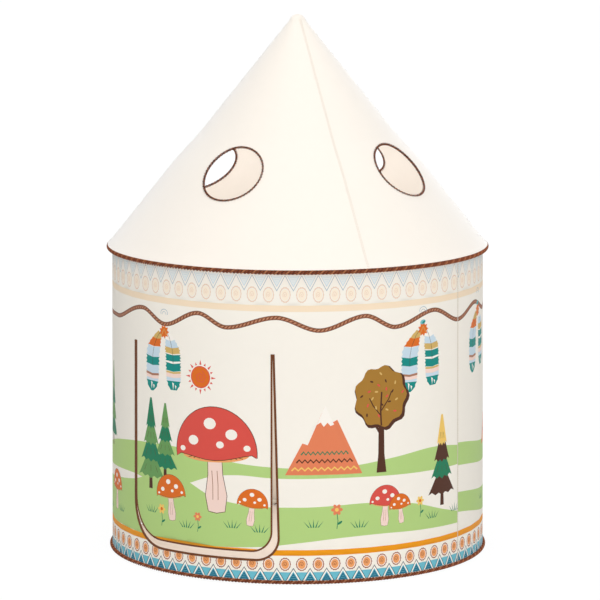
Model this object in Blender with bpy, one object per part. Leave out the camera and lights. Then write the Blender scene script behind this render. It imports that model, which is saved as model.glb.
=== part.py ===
"""Round play tent with straight walls, a cone roof and a hanging door flap.

Metres, +Z up. The origin is on the floor under the peak, and the door faces -Y.
A bearing is measured from the door towards +X, so 0 is the door and 90 degrees is +X.
"""

import math

import bmesh
import bpy
from mathutils import Matrix, Vector

# Driving sizes of the cover
WALL_RADIUS = 0.515
CLOTH = 0.003
EAVE_HEIGHT = 0.838
EAVE_OVERHANG = 0.014
ROOF_RISE = 0.6636
PEAK_RADIUS = 0.0215
PEAK_DROP = 0.0116
PEAK_HOLE = 0.002
CLEARANCE = 0.0003

# Piping and bindings
EAVE_PIPING = 0.012
BASE_PIPING = 0.010
BASE_PIPING_OUT = 0.0005
BINDING = 0.005
RIM_CORD = 0.006

# Doorway and flap, cut from the front half of the wall
DOOR_LEFT_ANGLE = math.radians(25.6)
DOOR_RIGHT_ANGLE = math.radians(26.3)
DOOR_TOP = 0.625
DOOR_BOTTOM = 0.063
DOOR_SPREAD = 0.0155
DOOR_LEFT_CORNER = 0.123
DOOR_RIGHT_CORNER = 0.063
FLAP_RISE = 0.016
FLAP_LEFT_CORNER = 0.119
FLAP_RIGHT_CORNER = 0.064
SLIT = 0.0008

# Roof windows
WINDOW_RADIUS = 0.090
WINDOW_BEARINGS = [math.radians(turn) for turn in (2.0, 88.5, 184.5, 254.5)]
WINDOW_SLANT_SHARES = (0.637, 0.637, 0.655, 0.715)

# Seams of the cover
WALL_SEAM = math.radians(90.8)
ROOF_SEAM = math.radians(54.3)

# Frame
HOOP_ROD_RADIUS = 0.0045
POLE_RADIUS = 0.006
POLE_WALL = 0.0012
SOCKET_WALL = 0.0025
SOCKET_PLAY = 0.0004
SOCKET_LENGTH = 0.036
SOCKET_STOP = 0.012
KNUCKLE_SWELL = 0.001
FERRULE_LENGTH = 0.070
FERRULE_WALL = 0.0008
FRAME_SIDES = 4
HUB_RADIUS = 0.026
HUB_HEIGHT = 0.046
HUB_SOCKET_START = 0.014
HUB_SOCKET_STOP = 0.034
HUB_SOCKET_END = 0.066

# Ground sheet and door ties
SHEET = 0.003
STRAP = 0.002
TIE_TOP_ABOVE_DOOR = 0.075
TIE_LENGTH = 0.140
TIE_WIDTH = 0.018
TIE_BEARING = math.radians(16.0)

# Facets
ROUND_STEPS = 64
DOOR_COLUMNS = 30
DOOR_ROWS = 6
ROD_SIDES = 8
POLE_SIDES = 12
PIPING_SIDES = 6
RIM_STEPS = 20
RIM_SIDES = 6
CORNER_STEPS = 6
HOOP_STEPS = 12
SOCKET_STEPS = 2
PEAK_STEPS = 3

OVERRUN = 0.010

# Worked out from the driving sizes
FACET = 2.0 * math.pi / ROUND_STEPS
EAVE_RADIUS = WALL_RADIUS + EAVE_OVERHANG
ROOF_ANGLE = math.atan2(ROOF_RISE, EAVE_RADIUS)
APEX = EAVE_HEIGHT + ROOF_RISE
WALL_INNER = WALL_RADIUS - CLOTH
POLE_SOCKET = POLE_RADIUS + SOCKET_PLAY + SOCKET_WALL
HOOP_SOCKET = HOOP_ROD_RADIUS + SOCKET_PLAY + SOCKET_WALL
KNUCKLE = POLE_SOCKET + KNUCKLE_SWELL
FRAME_RADIUS = WALL_INNER - CLEARANCE - KNUCKLE
BASE_HOOP_Z = SHEET + CLEARANCE + KNUCKLE
POLE_STEP = 2.0 * math.pi / FRAME_SIDES
WALL_FOOT = BASE_PIPING + CLEARANCE
UP_SLOPE = Vector((-math.cos(ROOF_ANGLE), math.sin(ROOF_ANGLE)))


def roof_height(radius, depth=0.0):
    """Height of the roof cone at a distance from the axis, at a depth under its outer face."""
    return EAVE_HEIGHT + (EAVE_RADIUS - radius) * math.tan(ROOF_ANGLE) - depth / math.cos(ROOF_ANGLE)


EAVE_HOOP_Z = roof_height(FRAME_RADIUS, CLOTH + CLEARANCE + KNUCKLE)
HUB_CROSSING_Z = EAVE_HOOP_Z + FRAME_RADIUS * math.tan(ROOF_ANGLE)
FACET_SAG = EAVE_RADIUS * (1.0 - math.cos(FACET / 2))
WALL_TOP = roof_height(WALL_RADIUS + FACET_SAG, CLOTH + CLEARANCE)
EAVE_RING_RADIUS = EAVE_RADIUS - EAVE_PIPING / 2
EAVE_RING_Z = roof_height(EAVE_RING_RADIUS, CLOTH / 2)
BASE_RING_RADIUS = WALL_RADIUS + BASE_PIPING_OUT
MID_CLOTH = WALL_RADIUS - CLOTH / 2


def on_bearing(bearing, radius, height=0.0):
    return Vector((radius * math.sin(bearing), -radius * math.cos(bearing), height))


def material(name, colour, roughness, metallic=0.0):
    mat = bpy.data.materials.new(name)
    mat.use_nodes = True
    shader = mat.node_tree.nodes["Principled BSDF"]
    shader.inputs["Base Color"].default_value = (*colour, 1.0)
    shader.inputs["Roughness"].default_value = roughness
    shader.inputs["Metallic"].default_value = metallic
    mat.diffuse_color = (*colour, 1.0)
    return mat


def smooth(mesh):
    mesh.shade_smooth()
    mesh.set_sharp_from_angle(angle=math.radians(40.0))
    return mesh


def mesh_from(name, verts, faces):
    """A closed mesh whose faces all point outwards."""
    bm = bmesh.new()
    points = [bm.verts.new(v) for v in verts]
    for face in faces:
        bm.faces.new([points[i] for i in face])
    bmesh.ops.recalc_face_normals(bm, faces=bm.faces)
    mesh = bpy.data.meshes.new(name)
    bm.to_mesh(mesh)
    bm.free()
    return smooth(mesh)


def add_object(name, mesh, mat, origin=None, parent=None):
    """The named object of one sub-part, with its origin moved to a point if one is given."""
    obj = bpy.data.objects.new(name, mesh)
    bpy.context.scene.collection.objects.link(obj)
    mesh.materials.clear()
    mesh.materials.append(mat)
    if origin is not None:
        mesh.transform(Matrix.Translation(-origin))
        if parent is None:
            obj.location = origin
    obj.parent = parent
    return obj


def add_turned(name, mesh, mat, bearing):
    """A copy of a piece modelled at bearing zero, turned about the tent's axis."""
    obj = bpy.data.objects.new(name, mesh)
    bpy.context.scene.collection.objects.link(obj)
    if not mesh.materials:
        mesh.materials.append(mat)
    obj.rotation_euler = (0.0, 0.0, bearing)
    return obj


def swept_tube(name, path, radius, sides, closed=False):
    """A solid round tube along a path, with flat caps unless it closes on itself."""
    count = len(path)
    verts = []
    normal = None
    for i, point in enumerate(path):
        before = path[(i - 1) % count] if closed or i > 0 else point
        after = path[(i + 1) % count] if closed or i < count - 1 else point
        tangent = (after - before).normalized()
        if normal is None:
            normal = tangent.orthogonal()
        normal = (normal - tangent * normal.dot(tangent)).normalized()
        across = tangent.cross(normal)
        for k in range(sides):
            turn = 2.0 * math.pi * k / sides
            verts.append(point + radius * (math.cos(turn) * normal + math.sin(turn) * across))
    shift = closing_shift(verts[-sides:], verts[:sides]) if closed else 0
    faces = []
    for i in range(count if closed else count - 1):
        j = (i + 1) % count
        turned = shift if j == 0 else 0
        for k in range(sides):
            n = (k + 1) % sides
            near = (i * sides + k, i * sides + n)
            far = (j * sides + (n + turned) % sides, j * sides + (k + turned) % sides)
            faces.append((*near, *far))
    if not closed:
        faces.append(range(sides))
        faces.append(range((count - 1) * sides, count * sides))
    return mesh_from(name, verts, faces)


def closing_shift(last, first):
    """How many places the first ring is turned against the last, where a tube closes."""
    sides = len(last)
    gaps = [sum((last[k] - first[(k + s) % sides]).length for k in range(sides)) for s in range(sides)]
    return gaps.index(min(gaps))


def rod(name, start, end, radius, sides=POLE_SIDES):
    return swept_tube(name, [start, end], radius, sides)


def turned(name, profile, steps):
    """A solid of revolution about the Z axis, from a profile of (radius, height) off the axis."""
    verts = [on_bearing(2.0 * math.pi * i / steps, r, z) for i in range(steps) for r, z in profile]
    size = len(profile)
    faces = []
    for i in range(steps):
        a = i * size
        b = ((i + 1) % steps) * size
        faces += [(a + k, b + k, b + k + 1, a + k + 1) for k in range(size - 1)]
    faces.append([i * size for i in range(steps)])
    faces.append([i * size + size - 1 for i in range(steps)])
    return mesh_from(name, verts, faces)


def pipe(name, start, end, outer, inner, sides=POLE_SIDES):
    """A straight open tube with a wall."""
    axis = (end - start).normalized()
    normal = axis.orthogonal().normalized()
    across = axis.cross(normal)
    verts = []
    for point, radius in ((start, outer), (end, outer), (end, inner), (start, inner)):
        for k in range(sides):
            turn = 2.0 * math.pi * k / sides
            verts.append(point + radius * (math.cos(turn) * normal + math.sin(turn) * across))
    faces = []
    for ring in range(4):
        a = ring * sides
        b = ((ring + 1) % 4) * sides
        faces += [(a + k, a + (k + 1) % sides, b + (k + 1) % sides, b + k) for k in range(sides)]
    return mesh_from(name, verts, faces)


def boolean(name, base, steps):
    """The base mesh after each (operation, mesh) step."""
    body = bpy.data.objects.new(name, base)
    bpy.context.scene.collection.objects.link(body)
    helpers = []
    for i, (operation, mesh) in enumerate(steps):
        helper = bpy.data.objects.new(f"{name}_{i}", mesh)
        helper.hide_render = True
        helper.display_type = "WIRE"
        bpy.context.scene.collection.objects.link(helper)
        helpers.append(helper)
        modifier = body.modifiers.new(f"step_{i}", "BOOLEAN")
        modifier.operation = operation
        modifier.solver = "EXACT"
        modifier.object = helper
    bpy.context.view_layer.update()
    shaped = body.evaluated_get(bpy.context.evaluated_depsgraph_get())
    mesh = bpy.data.meshes.new_from_object(shaped)
    mesh.name = name
    for obj in [body, *helpers]:
        bpy.data.objects.remove(obj)
    return smooth(mesh)


def level_arc(start, end, steps, radius, height):
    turn = (end - start) / steps
    return [on_bearing(start + turn * i, radius, height) for i in range(steps + 1)]


def ring_path(steps, radius, height):
    return [on_bearing(2.0 * math.pi * i / steps, radius, height) for i in range(steps)]


def shell(name, start, end, profile):
    """Part of a round shell between two seams, from a closed profile of (radius, height).

    Its ends lie half a clearance short of the seams, so that neighbours don't touch.
    """
    first = math.floor(start / FACET) + 1
    last = math.ceil(end / FACET) - 1
    between = [FACET * i for i in range(first, last + 1)]
    between = [b for b in between if start + FACET / 4 < b < end - FACET / 4]
    verts = []
    for bearing in (start, *between, end):
        side = 1.0 if bearing == start else -1.0 if bearing == end else 0.0
        along = Vector((math.cos(bearing), math.sin(bearing), 0.0)) * (side * CLEARANCE / 2)
        verts += [on_bearing(bearing, r, z) + along for r, z in profile]
    size = len(profile)
    spans = len(between) + 1
    faces = []
    for i in range(spans):
        for k in range(size):
            n = (k + 1) % size
            faces.append((i * size + k, i * size + n, (i + 1) * size + n, (i + 1) * size + k))
    faces.append(range(size))
    faces.append(range(spans * size, (spans + 1) * size))
    return mesh_from(name, verts, faces)


class DoorOutline:
    """The U of the doorway, inset from the cut in the wall, in distances along the wall.

    Distances across are measured on the wall's outer face from the middle of the door. The
    corners of the foot differ, the right side can lean out towards its foot, and the foot can
    stand higher than the doorway's.
    """

    def __init__(self, inset, left_corner, right_corner, spread=0.0, rise=0.0):
        self.left = -WALL_RADIUS * DOOR_LEFT_ANGLE + inset
        self.right = WALL_RADIUS * DOOR_RIGHT_ANGLE - inset
        self.top = DOOR_TOP
        self.bottom = DOOR_BOTTOM + inset + rise
        self.left_corner = left_corner - inset
        self.right_corner = right_corner - inset
        self.spread = spread
        self.left_turn = self.left + self.left_corner
        self.foot_right = self.right_at(self.bottom + self.right_corner)
        self.right_turn = self.foot_right - self.right_corner

    def right_at(self, height):
        lean = (self.top - height) / (self.top - self.bottom)
        return self.right + self.spread * lean

    def foot_at(self, across):
        """Height of the outline's foot under a place between its sides."""
        if across < self.left_turn:
            corner = self.left_corner
            away = min(self.left_turn - across, corner)
        else:
            corner = self.right_corner
            away = min(max(0.0, across - self.right_turn), corner)
        return self.bottom + corner - math.sqrt(corner**2 - away**2)

    def head_at(self, across):
        """Height of the outline's top over a place between its sides."""
        if across <= self.right:
            return self.top
        climb = (self.foot_right - across) / (self.foot_right - self.right)
        spring = self.bottom + self.right_corner
        return spring + climb * (self.top - spring)

    def path(self):
        """Points of the U, from the top of its left side round to the top of its right side."""
        falls = [i / DOOR_ROWS for i in range(DOOR_ROWS)]
        turns = [math.pi / 2 * i / CORNER_STEPS for i in range(CORNER_STEPS + 1)]
        drop = self.top - self.bottom - self.left_corner
        points = [(self.left, self.top - drop * fall) for fall in falls]
        for t in turns:
            across = self.left_turn - self.left_corner * math.cos(t)
            points.append((across, self.bottom + self.left_corner * (1.0 - math.sin(t))))
        run = self.right_turn - self.left_turn
        steps = DOOR_COLUMNS // 2
        points += [(self.left_turn + run * i / steps, self.bottom) for i in range(1, steps)]
        for t in turns:
            across = self.right_turn + self.right_corner * math.sin(t)
            points.append((across, self.bottom + self.right_corner * (1.0 - math.cos(t))))
        drop = self.top - self.bottom - self.right_corner
        heights = [self.top - drop * fall for fall in reversed(falls)]
        return points + [(self.right_at(z), z) for z in heights]

    def wrapped(self, radius):
        return [on_bearing(x / WALL_RADIUS, radius, z) for x, z in self.path()]

    def plate(self, name, inner, outer, above=0.0):
        """The bent plate that fills the U, in columns narrow enough to follow the wall."""
        turns = [math.pi / 2 * i / CORNER_STEPS for i in range(1, CORNER_STEPS + 1)]
        across = [self.left]
        across += [self.left_turn - self.left_corner * math.cos(t) for t in turns]
        run = self.right_turn - self.left_turn
        steps = DOOR_COLUMNS - 2 * CORNER_STEPS
        across += [self.left_turn + run * i / steps for i in range(1, steps)]
        foot = [self.foot_right - self.right_corner * (1.0 - math.cos(t)) for t in turns]
        across += foot[::-1]
        across.append(self.foot_right)
        if self.spread > 0.0:
            across.append(self.right)
            across.sort()
        verts = []
        for x in across:
            for z in (self.foot_at(x), self.head_at(x) + above):
                verts += [on_bearing(x / WALL_RADIUS, r, z) for r in (inner, outer)]
        faces = []
        for i in range(len(across) - 1):
            a = 4 * i
            b = a + 4
            faces += [(a, a + 1, b + 1, b), (a + 1, a + 3, b + 3, b + 1)]
            faces += [(a + 3, a + 2, b + 2, b + 3), (a + 2, a, b, b + 2)]
        end = 4 * (len(across) - 1)
        faces += [(0, 1, 3, 2), (end, end + 1, end + 3, end + 2)]
        return mesh_from(name, verts, faces)


def build_wall(cloth, brown):
    """The wall in two halves: the front has the doorway, and its bound edge lies in the cut."""
    lean = CLOTH * math.tan(ROOF_ANGLE)
    profile = [
        (WALL_INNER, WALL_FOOT),
        (WALL_RADIUS, WALL_FOOT),
        (WALL_RADIUS, WALL_TOP),
        (WALL_INNER, WALL_TOP + lean),
    ]
    front = shell("wall_front", -WALL_SEAM, WALL_SEAM, profile)
    corners = (DOOR_LEFT_CORNER, DOOR_RIGHT_CORNER)
    cut = DoorOutline(0.0, *corners, DOOR_SPREAD)
    cutter = cut.plate("doorway_cut", WALL_INNER - OVERRUN, WALL_RADIUS + OVERRUN, CLEARANCE)
    front = boolean("wall_front_panel", front, [("DIFFERENCE", cutter)])
    add_object("wall_front_panel", front, cloth)
    back = shell("wall_back_panel", WALL_SEAM, 2.0 * math.pi - WALL_SEAM, profile)
    add_object("wall_back_panel", back, cloth)
    edge = DoorOutline(BINDING / 2 + CLEARANCE, *corners, DOOR_SPREAD)
    binding = swept_tube("doorway_binding", edge.wrapped(MID_CLOTH), BINDING / 2, RIM_SIDES)
    add_object("doorway_binding", binding, brown)


def build_door(cloth, brown):
    """The flap and its bound edge, hung from a line across the top of the doorway."""
    hinge = Vector((0.0, -WALL_RADIUS - BINDING / 2, DOOR_TOP))
    pivot = bpy.data.objects.new("door_hinge", None)
    bpy.context.scene.collection.objects.link(pivot)
    pivot.location = hinge
    edge_inset = BINDING + 2.0 * CLEARANCE + SLIT
    corners = (FLAP_LEFT_CORNER, FLAP_RIGHT_CORNER)
    edge = DoorOutline(edge_inset + BINDING / 2, *corners, rise=FLAP_RISE)
    binding = swept_tube("flap_binding", edge.wrapped(MID_CLOTH), BINDING / 2, RIM_SIDES)
    add_object("flap_binding", binding, brown, hinge, pivot)
    field = DoorOutline(edge_inset + BINDING + CLEARANCE, *corners, rise=FLAP_RISE)
    add_object("door_flap", field.plate("door_flap", WALL_INNER, WALL_RADIUS), cloth, hinge, pivot)


def peak_curve(radius, foot, top):
    """The rounded tip over the hub: a quarter ellipse from the cone's end to the small hole."""
    reach = math.acos(PEAK_HOLE / radius)
    turns = [reach * i / PEAK_STEPS for i in range(PEAK_STEPS + 1)]
    return [(radius * math.cos(t), foot + (top - foot) * math.sin(t)) for t in turns]


def roof_profile():
    """Closed profile of the roof cloth, from its hem on the eave piping to the tip and back."""
    hem = EAVE_PIPING / 2 + CLEARANCE + FACET_SAG / 2
    hem_radius = EAVE_RING_RADIUS + UP_SLOPE.x * hem
    out = CLOTH / 2 * math.sin(ROOF_ANGLE)
    top = APEX - PEAK_DROP
    inner_radius = PEAK_RADIUS - CLOTH
    outer = [(hem_radius + out, roof_height(hem_radius + out))]
    outer += peak_curve(PEAK_RADIUS, roof_height(PEAK_RADIUS), top)
    inner = [(hem_radius - out, roof_height(hem_radius - out, CLOTH))]
    inner += peak_curve(inner_radius, roof_height(inner_radius, CLOTH), top - CLOTH)
    return outer + inner[::-1]


def window_axis(index):
    """Centre of a roof window on the outer face, and the directions across, up and out of it."""
    bearing = WINDOW_BEARINGS[index]
    radius = EAVE_RADIUS * WINDOW_SLANT_SHARES[index]
    centre = on_bearing(bearing, radius, roof_height(radius))
    across = Vector((math.cos(bearing), math.sin(bearing), 0.0))
    out = on_bearing(bearing, math.sin(ROOF_ANGLE), math.cos(ROOF_ANGLE))
    return centre, across, out.cross(across), out


def window_path(index, radius, depth):
    """A round outline laid on the cone at a depth under its outer face."""
    centre, across, up, out = window_axis(index)
    points = []
    for i in range(RIM_STEPS):
        turn = 2.0 * math.pi * i / RIM_STEPS
        point = centre + radius * (math.cos(turn) * across + math.sin(turn) * up)
        for _ in range(6):
            level = roof_height(math.hypot(point.x, point.y), depth)
            point = point + out * (level - point.z) * math.cos(ROOF_ANGLE)
        points.append(point)
    return points


def window_cutter(index):
    """A prism through the cloth whose corners stand in line with the corners of the rim."""
    centre, across, up, out = window_axis(index)
    verts = []
    for reach in (-WINDOW_RADIUS / 2, WINDOW_RADIUS / 2):
        for i in range(RIM_STEPS):
            turn = 2.0 * math.pi * i / RIM_STEPS
            aside = WINDOW_RADIUS * (math.cos(turn) * across + math.sin(turn) * up)
            verts.append(centre + out * reach + aside)
    faces = [range(RIM_STEPS), range(RIM_STEPS, 2 * RIM_STEPS)]
    for i in range(RIM_STEPS):
        n = (i + 1) % RIM_STEPS
        faces.append((i, n, RIM_STEPS + n, RIM_STEPS + i))
    return mesh_from("window_cut", verts, faces)


def build_roof(cloth, brown):
    """Two half cones sewn along seams, with round windows whose cord rims lie in the holes."""
    profile = roof_profile()
    halves = (("roof_right_panel", ROOF_SEAM - math.pi), ("roof_left_panel", ROOF_SEAM))
    for name, start in halves:
        panel = shell(name, start, start + math.pi, profile)
        cutters = [("DIFFERENCE", window_cutter(i)) for i in range(len(WINDOW_BEARINGS))]
        add_object(name, boolean(name, panel, cutters), cloth)
    flat = math.cos(math.pi / RIM_STEPS)
    for i in range(len(WINDOW_BEARINGS)):
        name = f"window_rim_{i + 1}"
        path = window_path(i, WINDOW_RADIUS - (RIM_CORD / 2 + CLEARANCE) / flat, CLOTH / 2)
        add_object(name, swept_tube(name, path, RIM_CORD / 2, RIM_SIDES, closed=True), brown)


def build_piping(brown):
    """The rope-like piping round the eave and round the foot."""
    eave = ring_path(ROUND_STEPS, EAVE_RING_RADIUS, EAVE_RING_Z)
    mesh = swept_tube("eave_piping", eave, EAVE_PIPING / 2, PIPING_SIDES, closed=True)
    add_object("eave_piping", mesh, brown)
    foot = ring_path(ROUND_STEPS, BASE_RING_RADIUS, BASE_PIPING / 2)
    mesh = swept_tube("base_piping", foot, BASE_PIPING / 2, PIPING_SIDES, closed=True)
    add_object("base_piping", mesh, brown)


def ball(name, centre, radius):
    half = POLE_SIDES // 2
    turns = [math.pi * (i + 1) / half - math.pi / 2 for i in range(half - 1)]
    profile = [(radius * math.cos(t), centre.z + radius * math.sin(t)) for t in turns]
    mesh = turned(name, profile, POLE_SIDES)
    mesh.transform(Matrix.Translation((centre.x, centre.y, 0.0)))
    return mesh


def connector(name, height, straights):
    """A moulded connector at bearing zero: two bent hoop sockets and straight pole sockets."""
    centre = on_bearing(0.0, FRAME_RADIUS, height)
    reach = SOCKET_LENGTH / FRAME_RADIUS
    sleeve = level_arc(-reach, reach, 2 * SOCKET_STEPS, FRAME_RADIUS, height)
    steps = [("UNION", swept_tube("sleeve", sleeve, HOOP_SOCKET, POLE_SIDES))]
    for way in straights:
        steps.append(("UNION", rod("socket", centre, centre + way * SOCKET_LENGTH, POLE_SOCKET)))
    stop = SOCKET_STOP / FRAME_RADIUS
    over = reach + OVERRUN / FRAME_RADIUS
    bore = HOOP_ROD_RADIUS + SOCKET_PLAY
    for side in (-1.0, 1.0):
        path = level_arc(side * stop, side * over, SOCKET_STEPS, FRAME_RADIUS, height)
        steps.append(("DIFFERENCE", swept_tube("hoop_bore", path, bore, POLE_SIDES)))
    bore = POLE_RADIUS + SOCKET_PLAY
    for way in straights:
        start = centre + way * SOCKET_STOP
        end = centre + way * (SOCKET_LENGTH + OVERRUN)
        steps.append(("DIFFERENCE", rod("pole_bore", start, end, bore)))
    return boolean(name, ball("knuckle", centre, KNUCKLE), steps)


def build_hoop(name, height, mat):
    """One hoop of the frame: bent rods whose ends stand in the connectors' sockets."""
    stop = (SOCKET_STOP + CLEARANCE) / FRAME_RADIUS
    mouth = SOCKET_LENGTH / FRAME_RADIUS
    path = [on_bearing(stop, FRAME_RADIUS, height)]
    path += level_arc(mouth, POLE_STEP - mouth, HOOP_STEPS, FRAME_RADIUS, height)
    path.append(on_bearing(POLE_STEP - stop, FRAME_RADIUS, height))
    mesh = swept_tube(name, path, HOOP_ROD_RADIUS, ROD_SIDES)
    for i in range(FRAME_SIDES):
        add_turned(f"{name}_{i + 1}", mesh, mat, POLE_STEP * (i + 0.5))


def build_pole_pair(name, start, end, mat):
    """A pole in two tubes, modelled at bearing zero and repeated; returns the joint's place."""
    middle = (start + end) / 2
    along = (end - start).normalized()
    inner = POLE_RADIUS - POLE_WALL
    low = pipe(f"lower_{name}", start, middle - along * CLEARANCE / 2, POLE_RADIUS, inner)
    high = pipe(f"upper_{name}", middle + along * CLEARANCE / 2, end, POLE_RADIUS, inner)
    for i in range(FRAME_SIDES):
        bearing = POLE_STEP * (i + 0.5)
        add_turned(f"lower_{name}_{i + 1}", low, mat, bearing)
        add_turned(f"upper_{name}_{i + 1}", high, mat, bearing)
    return middle, along


def build_ferrules(name, middle, along, mat):
    """The metal sleeves over the poles' middle joints."""
    half = along * (FERRULE_LENGTH / 2)
    inner = POLE_RADIUS + SOCKET_PLAY
    sleeve = pipe(name, middle - half, middle + half, inner + FERRULE_WALL, inner)
    for i in range(FRAME_SIDES):
        add_turned(f"{name}_{i + 1}", sleeve, mat, POLE_STEP * (i + 0.5))


def build_hub(plastic):
    """The moulded hub that carries the tip of the roof and takes the rafters' heads."""
    cap_radius = PEAK_RADIUS - CLOTH - 2.0 * CLEARANCE
    cap_foot = roof_height(cap_radius, CLOTH + CLEARANCE)
    cap_top = APEX - PEAK_DROP - CLOTH - 2.0 * CLEARANCE
    shoulder = roof_height(HUB_RADIUS, CLOTH + 2.0 * CLEARANCE)
    profile = [(HUB_RADIUS, cap_top - HUB_HEIGHT), (HUB_RADIUS, shoulder)]
    profile += peak_curve(cap_radius, cap_foot - CLEARANCE, cap_top)
    crossing = Vector((0.0, 0.0, HUB_CROSSING_Z))
    steps = []
    for operation, near, far, radius in (
        ("UNION", HUB_SOCKET_START, HUB_SOCKET_END, POLE_SOCKET),
        ("DIFFERENCE", HUB_SOCKET_STOP, HUB_SOCKET_END + OVERRUN, POLE_RADIUS + SOCKET_PLAY),
    ):
        for i in range(FRAME_SIDES):
            bearing = POLE_STEP * (i + 0.5)
            way = on_bearing(bearing, math.cos(ROOF_ANGLE), -math.sin(ROOF_ANGLE))
            steps.append((operation, rod("socket", crossing + way * near, crossing + way * far, radius)))
    add_object("peak_hub", boolean("peak_hub", turned("hub", profile, ROUND_STEPS // 3), steps), plastic)


def build_frame(plastic, pole_mat, metal):
    """Hoops, connectors, uprights, rafters and the hub, hidden under the cover."""
    up = Vector((0.0, 0.0, 1.0))
    rafter = Vector((0.0, math.cos(ROOF_ANGLE), math.sin(ROOF_ANGLE)))
    base = connector("base_connector", BASE_HOOP_Z, [up])
    eave = connector("eave_connector", EAVE_HOOP_Z, [-up, rafter])
    for i in range(FRAME_SIDES):
        bearing = POLE_STEP * (i + 0.5)
        add_turned(f"base_connector_{i + 1}", base, plastic, bearing)
        add_turned(f"eave_connector_{i + 1}", eave, plastic, bearing)
    build_hoop("base_hoop_rod", BASE_HOOP_Z, pole_mat)
    build_hoop("eave_hoop_rod", EAVE_HOOP_Z, pole_mat)
    seat = SOCKET_STOP + CLEARANCE
    foot = on_bearing(0.0, FRAME_RADIUS, BASE_HOOP_Z + seat)
    head = on_bearing(0.0, FRAME_RADIUS, EAVE_HOOP_Z - seat)
    middle, along = build_pole_pair("upright", foot, head, pole_mat)
    build_ferrules("upright_ferrule", middle, along, metal)
    foot = on_bearing(0.0, FRAME_RADIUS, EAVE_HOOP_Z) + rafter * seat
    head = Vector((0.0, 0.0, HUB_CROSSING_Z)) - rafter * (HUB_SOCKET_STOP + CLEARANCE)
    middle, along = build_pole_pair("rafter", foot, head, pole_mat)
    build_ferrules("rafter_ferrule", middle, along, metal)
    build_hub(plastic)


def build_ground_sheet(sheet_mat):
    radius = BASE_RING_RADIUS - BASE_PIPING / 2 - CLEARANCE
    mesh = turned("ground_sheet", [(radius, 0.0), (radius, SHEET)], ROUND_STEPS)
    add_object("ground_sheet", mesh, sheet_mat)


def block(name, low, high):
    corners = [(x, y, z) for x in (low[0], high[0]) for y in (low[1], high[1]) for z in (low[2], high[2])]
    faces = [(0, 1, 3, 2), (4, 6, 7, 5), (0, 4, 5, 1), (2, 3, 7, 6), (0, 2, 6, 4), (1, 5, 7, 3)]
    return mesh_from(name, corners, faces)


def build_door_ties(tape):
    """Two ribbons sewn inside, over the doorway, that hold the flap when it is rolled up."""
    top = DOOR_TOP + TIE_TOP_ABOVE_DOOR
    outer = WALL_INNER * math.cos(FACET / 2) - 2.0 * CLEARANCE
    half = TIE_WIDTH / 2
    for name, side in (("door_tie_left", -1.0), ("door_tie_right", 1.0)):
        tie = block(name, (-half, -outer, top - TIE_LENGTH), (half, STRAP - outer, top))
        tie.transform(Matrix.Rotation(side * TIE_BEARING, 4, "Z"))
        add_object(name, tie, tape)


def build():
    for obj in list(bpy.data.objects):
        bpy.data.objects.remove(obj)
    cloth = material("cream_cloth", (0.93, 0.88, 0.78), 0.85)
    brown = material("brown_piping", (0.22, 0.055, 0.025), 0.8)
    plastic = material("grey_plastic", (0.55, 0.55, 0.53), 0.45)
    pole_mat = material("white_pole", (0.85, 0.85, 0.83), 0.4)
    metal = material("ferrule_metal", (0.6, 0.6, 0.6), 0.35, 1.0)
    sheet_mat = material("ground_cloth", (0.80, 0.72, 0.62), 0.9)
    tape = material("white_tape", (0.88, 0.84, 0.76), 0.9)
    build_wall(cloth, brown)
    build_door(cloth, brown)
    build_roof(cloth, brown)
    build_piping(brown)
    build_frame(plastic, pole_mat, metal)
    build_ground_sheet(sheet_mat)
    build_door_ties(tape)


build()
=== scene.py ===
"""Visual model of a round play tent: printed cloth, twisted piping, bound doorway, flap and frame.

Metres, +Z up, the door faces -Y. A bearing is measured from the door towards +X.
Prints are laid out on the flat cloth in (s, z): s runs along the wall, z is the height.
"""

import math

import bpy
import numpy as np
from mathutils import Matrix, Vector
from mathutils.geometry import delaunay_2d_cdt

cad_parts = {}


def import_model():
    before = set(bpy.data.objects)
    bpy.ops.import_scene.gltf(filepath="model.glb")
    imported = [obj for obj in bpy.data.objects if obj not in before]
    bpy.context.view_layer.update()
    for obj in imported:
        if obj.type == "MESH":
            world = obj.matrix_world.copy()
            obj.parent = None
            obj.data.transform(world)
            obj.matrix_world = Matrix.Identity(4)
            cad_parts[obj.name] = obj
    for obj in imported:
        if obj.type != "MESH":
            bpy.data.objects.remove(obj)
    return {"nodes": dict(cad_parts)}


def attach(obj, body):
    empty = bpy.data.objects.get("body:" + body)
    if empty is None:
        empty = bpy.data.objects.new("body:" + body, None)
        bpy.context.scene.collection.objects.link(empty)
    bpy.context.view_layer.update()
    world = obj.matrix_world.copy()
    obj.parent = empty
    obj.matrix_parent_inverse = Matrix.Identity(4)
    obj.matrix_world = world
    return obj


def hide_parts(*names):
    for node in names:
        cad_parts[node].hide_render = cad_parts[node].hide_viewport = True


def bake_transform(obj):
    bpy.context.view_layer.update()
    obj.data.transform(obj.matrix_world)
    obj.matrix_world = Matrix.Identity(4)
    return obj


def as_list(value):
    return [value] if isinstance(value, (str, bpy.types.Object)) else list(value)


# Sizes of the CAD model that the cover follows
WALL_RADIUS = 0.515
EAVE_HEIGHT = 0.838
EAVE_RADIUS = 0.529
ROOF_RISE = 0.6636
PEAK_RADIUS = 0.0215
PEAK_DROP = 0.0116
WALL_FOOT = 0.0103
WALL_TOP = 0.8495
DOOR_LEFT = WALL_RADIUS * math.radians(25.6)
DOOR_RIGHT = WALL_RADIUS * math.radians(26.3)
DOOR_TOP = 0.625
DOOR_BOTTOM = 0.063
DOOR_SPREAD = 0.0155
DOOR_CORNERS = (0.123, 0.063)
FLAP_CORNERS = (0.119, 0.064)
FLAP_RISE = 0.016
FLAP_INSET = 0.0085
FLAP_OUT = 0.0022
WALL_SEAM = math.radians(90.8)
ROOF_SEAM = math.radians(54.3)
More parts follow.
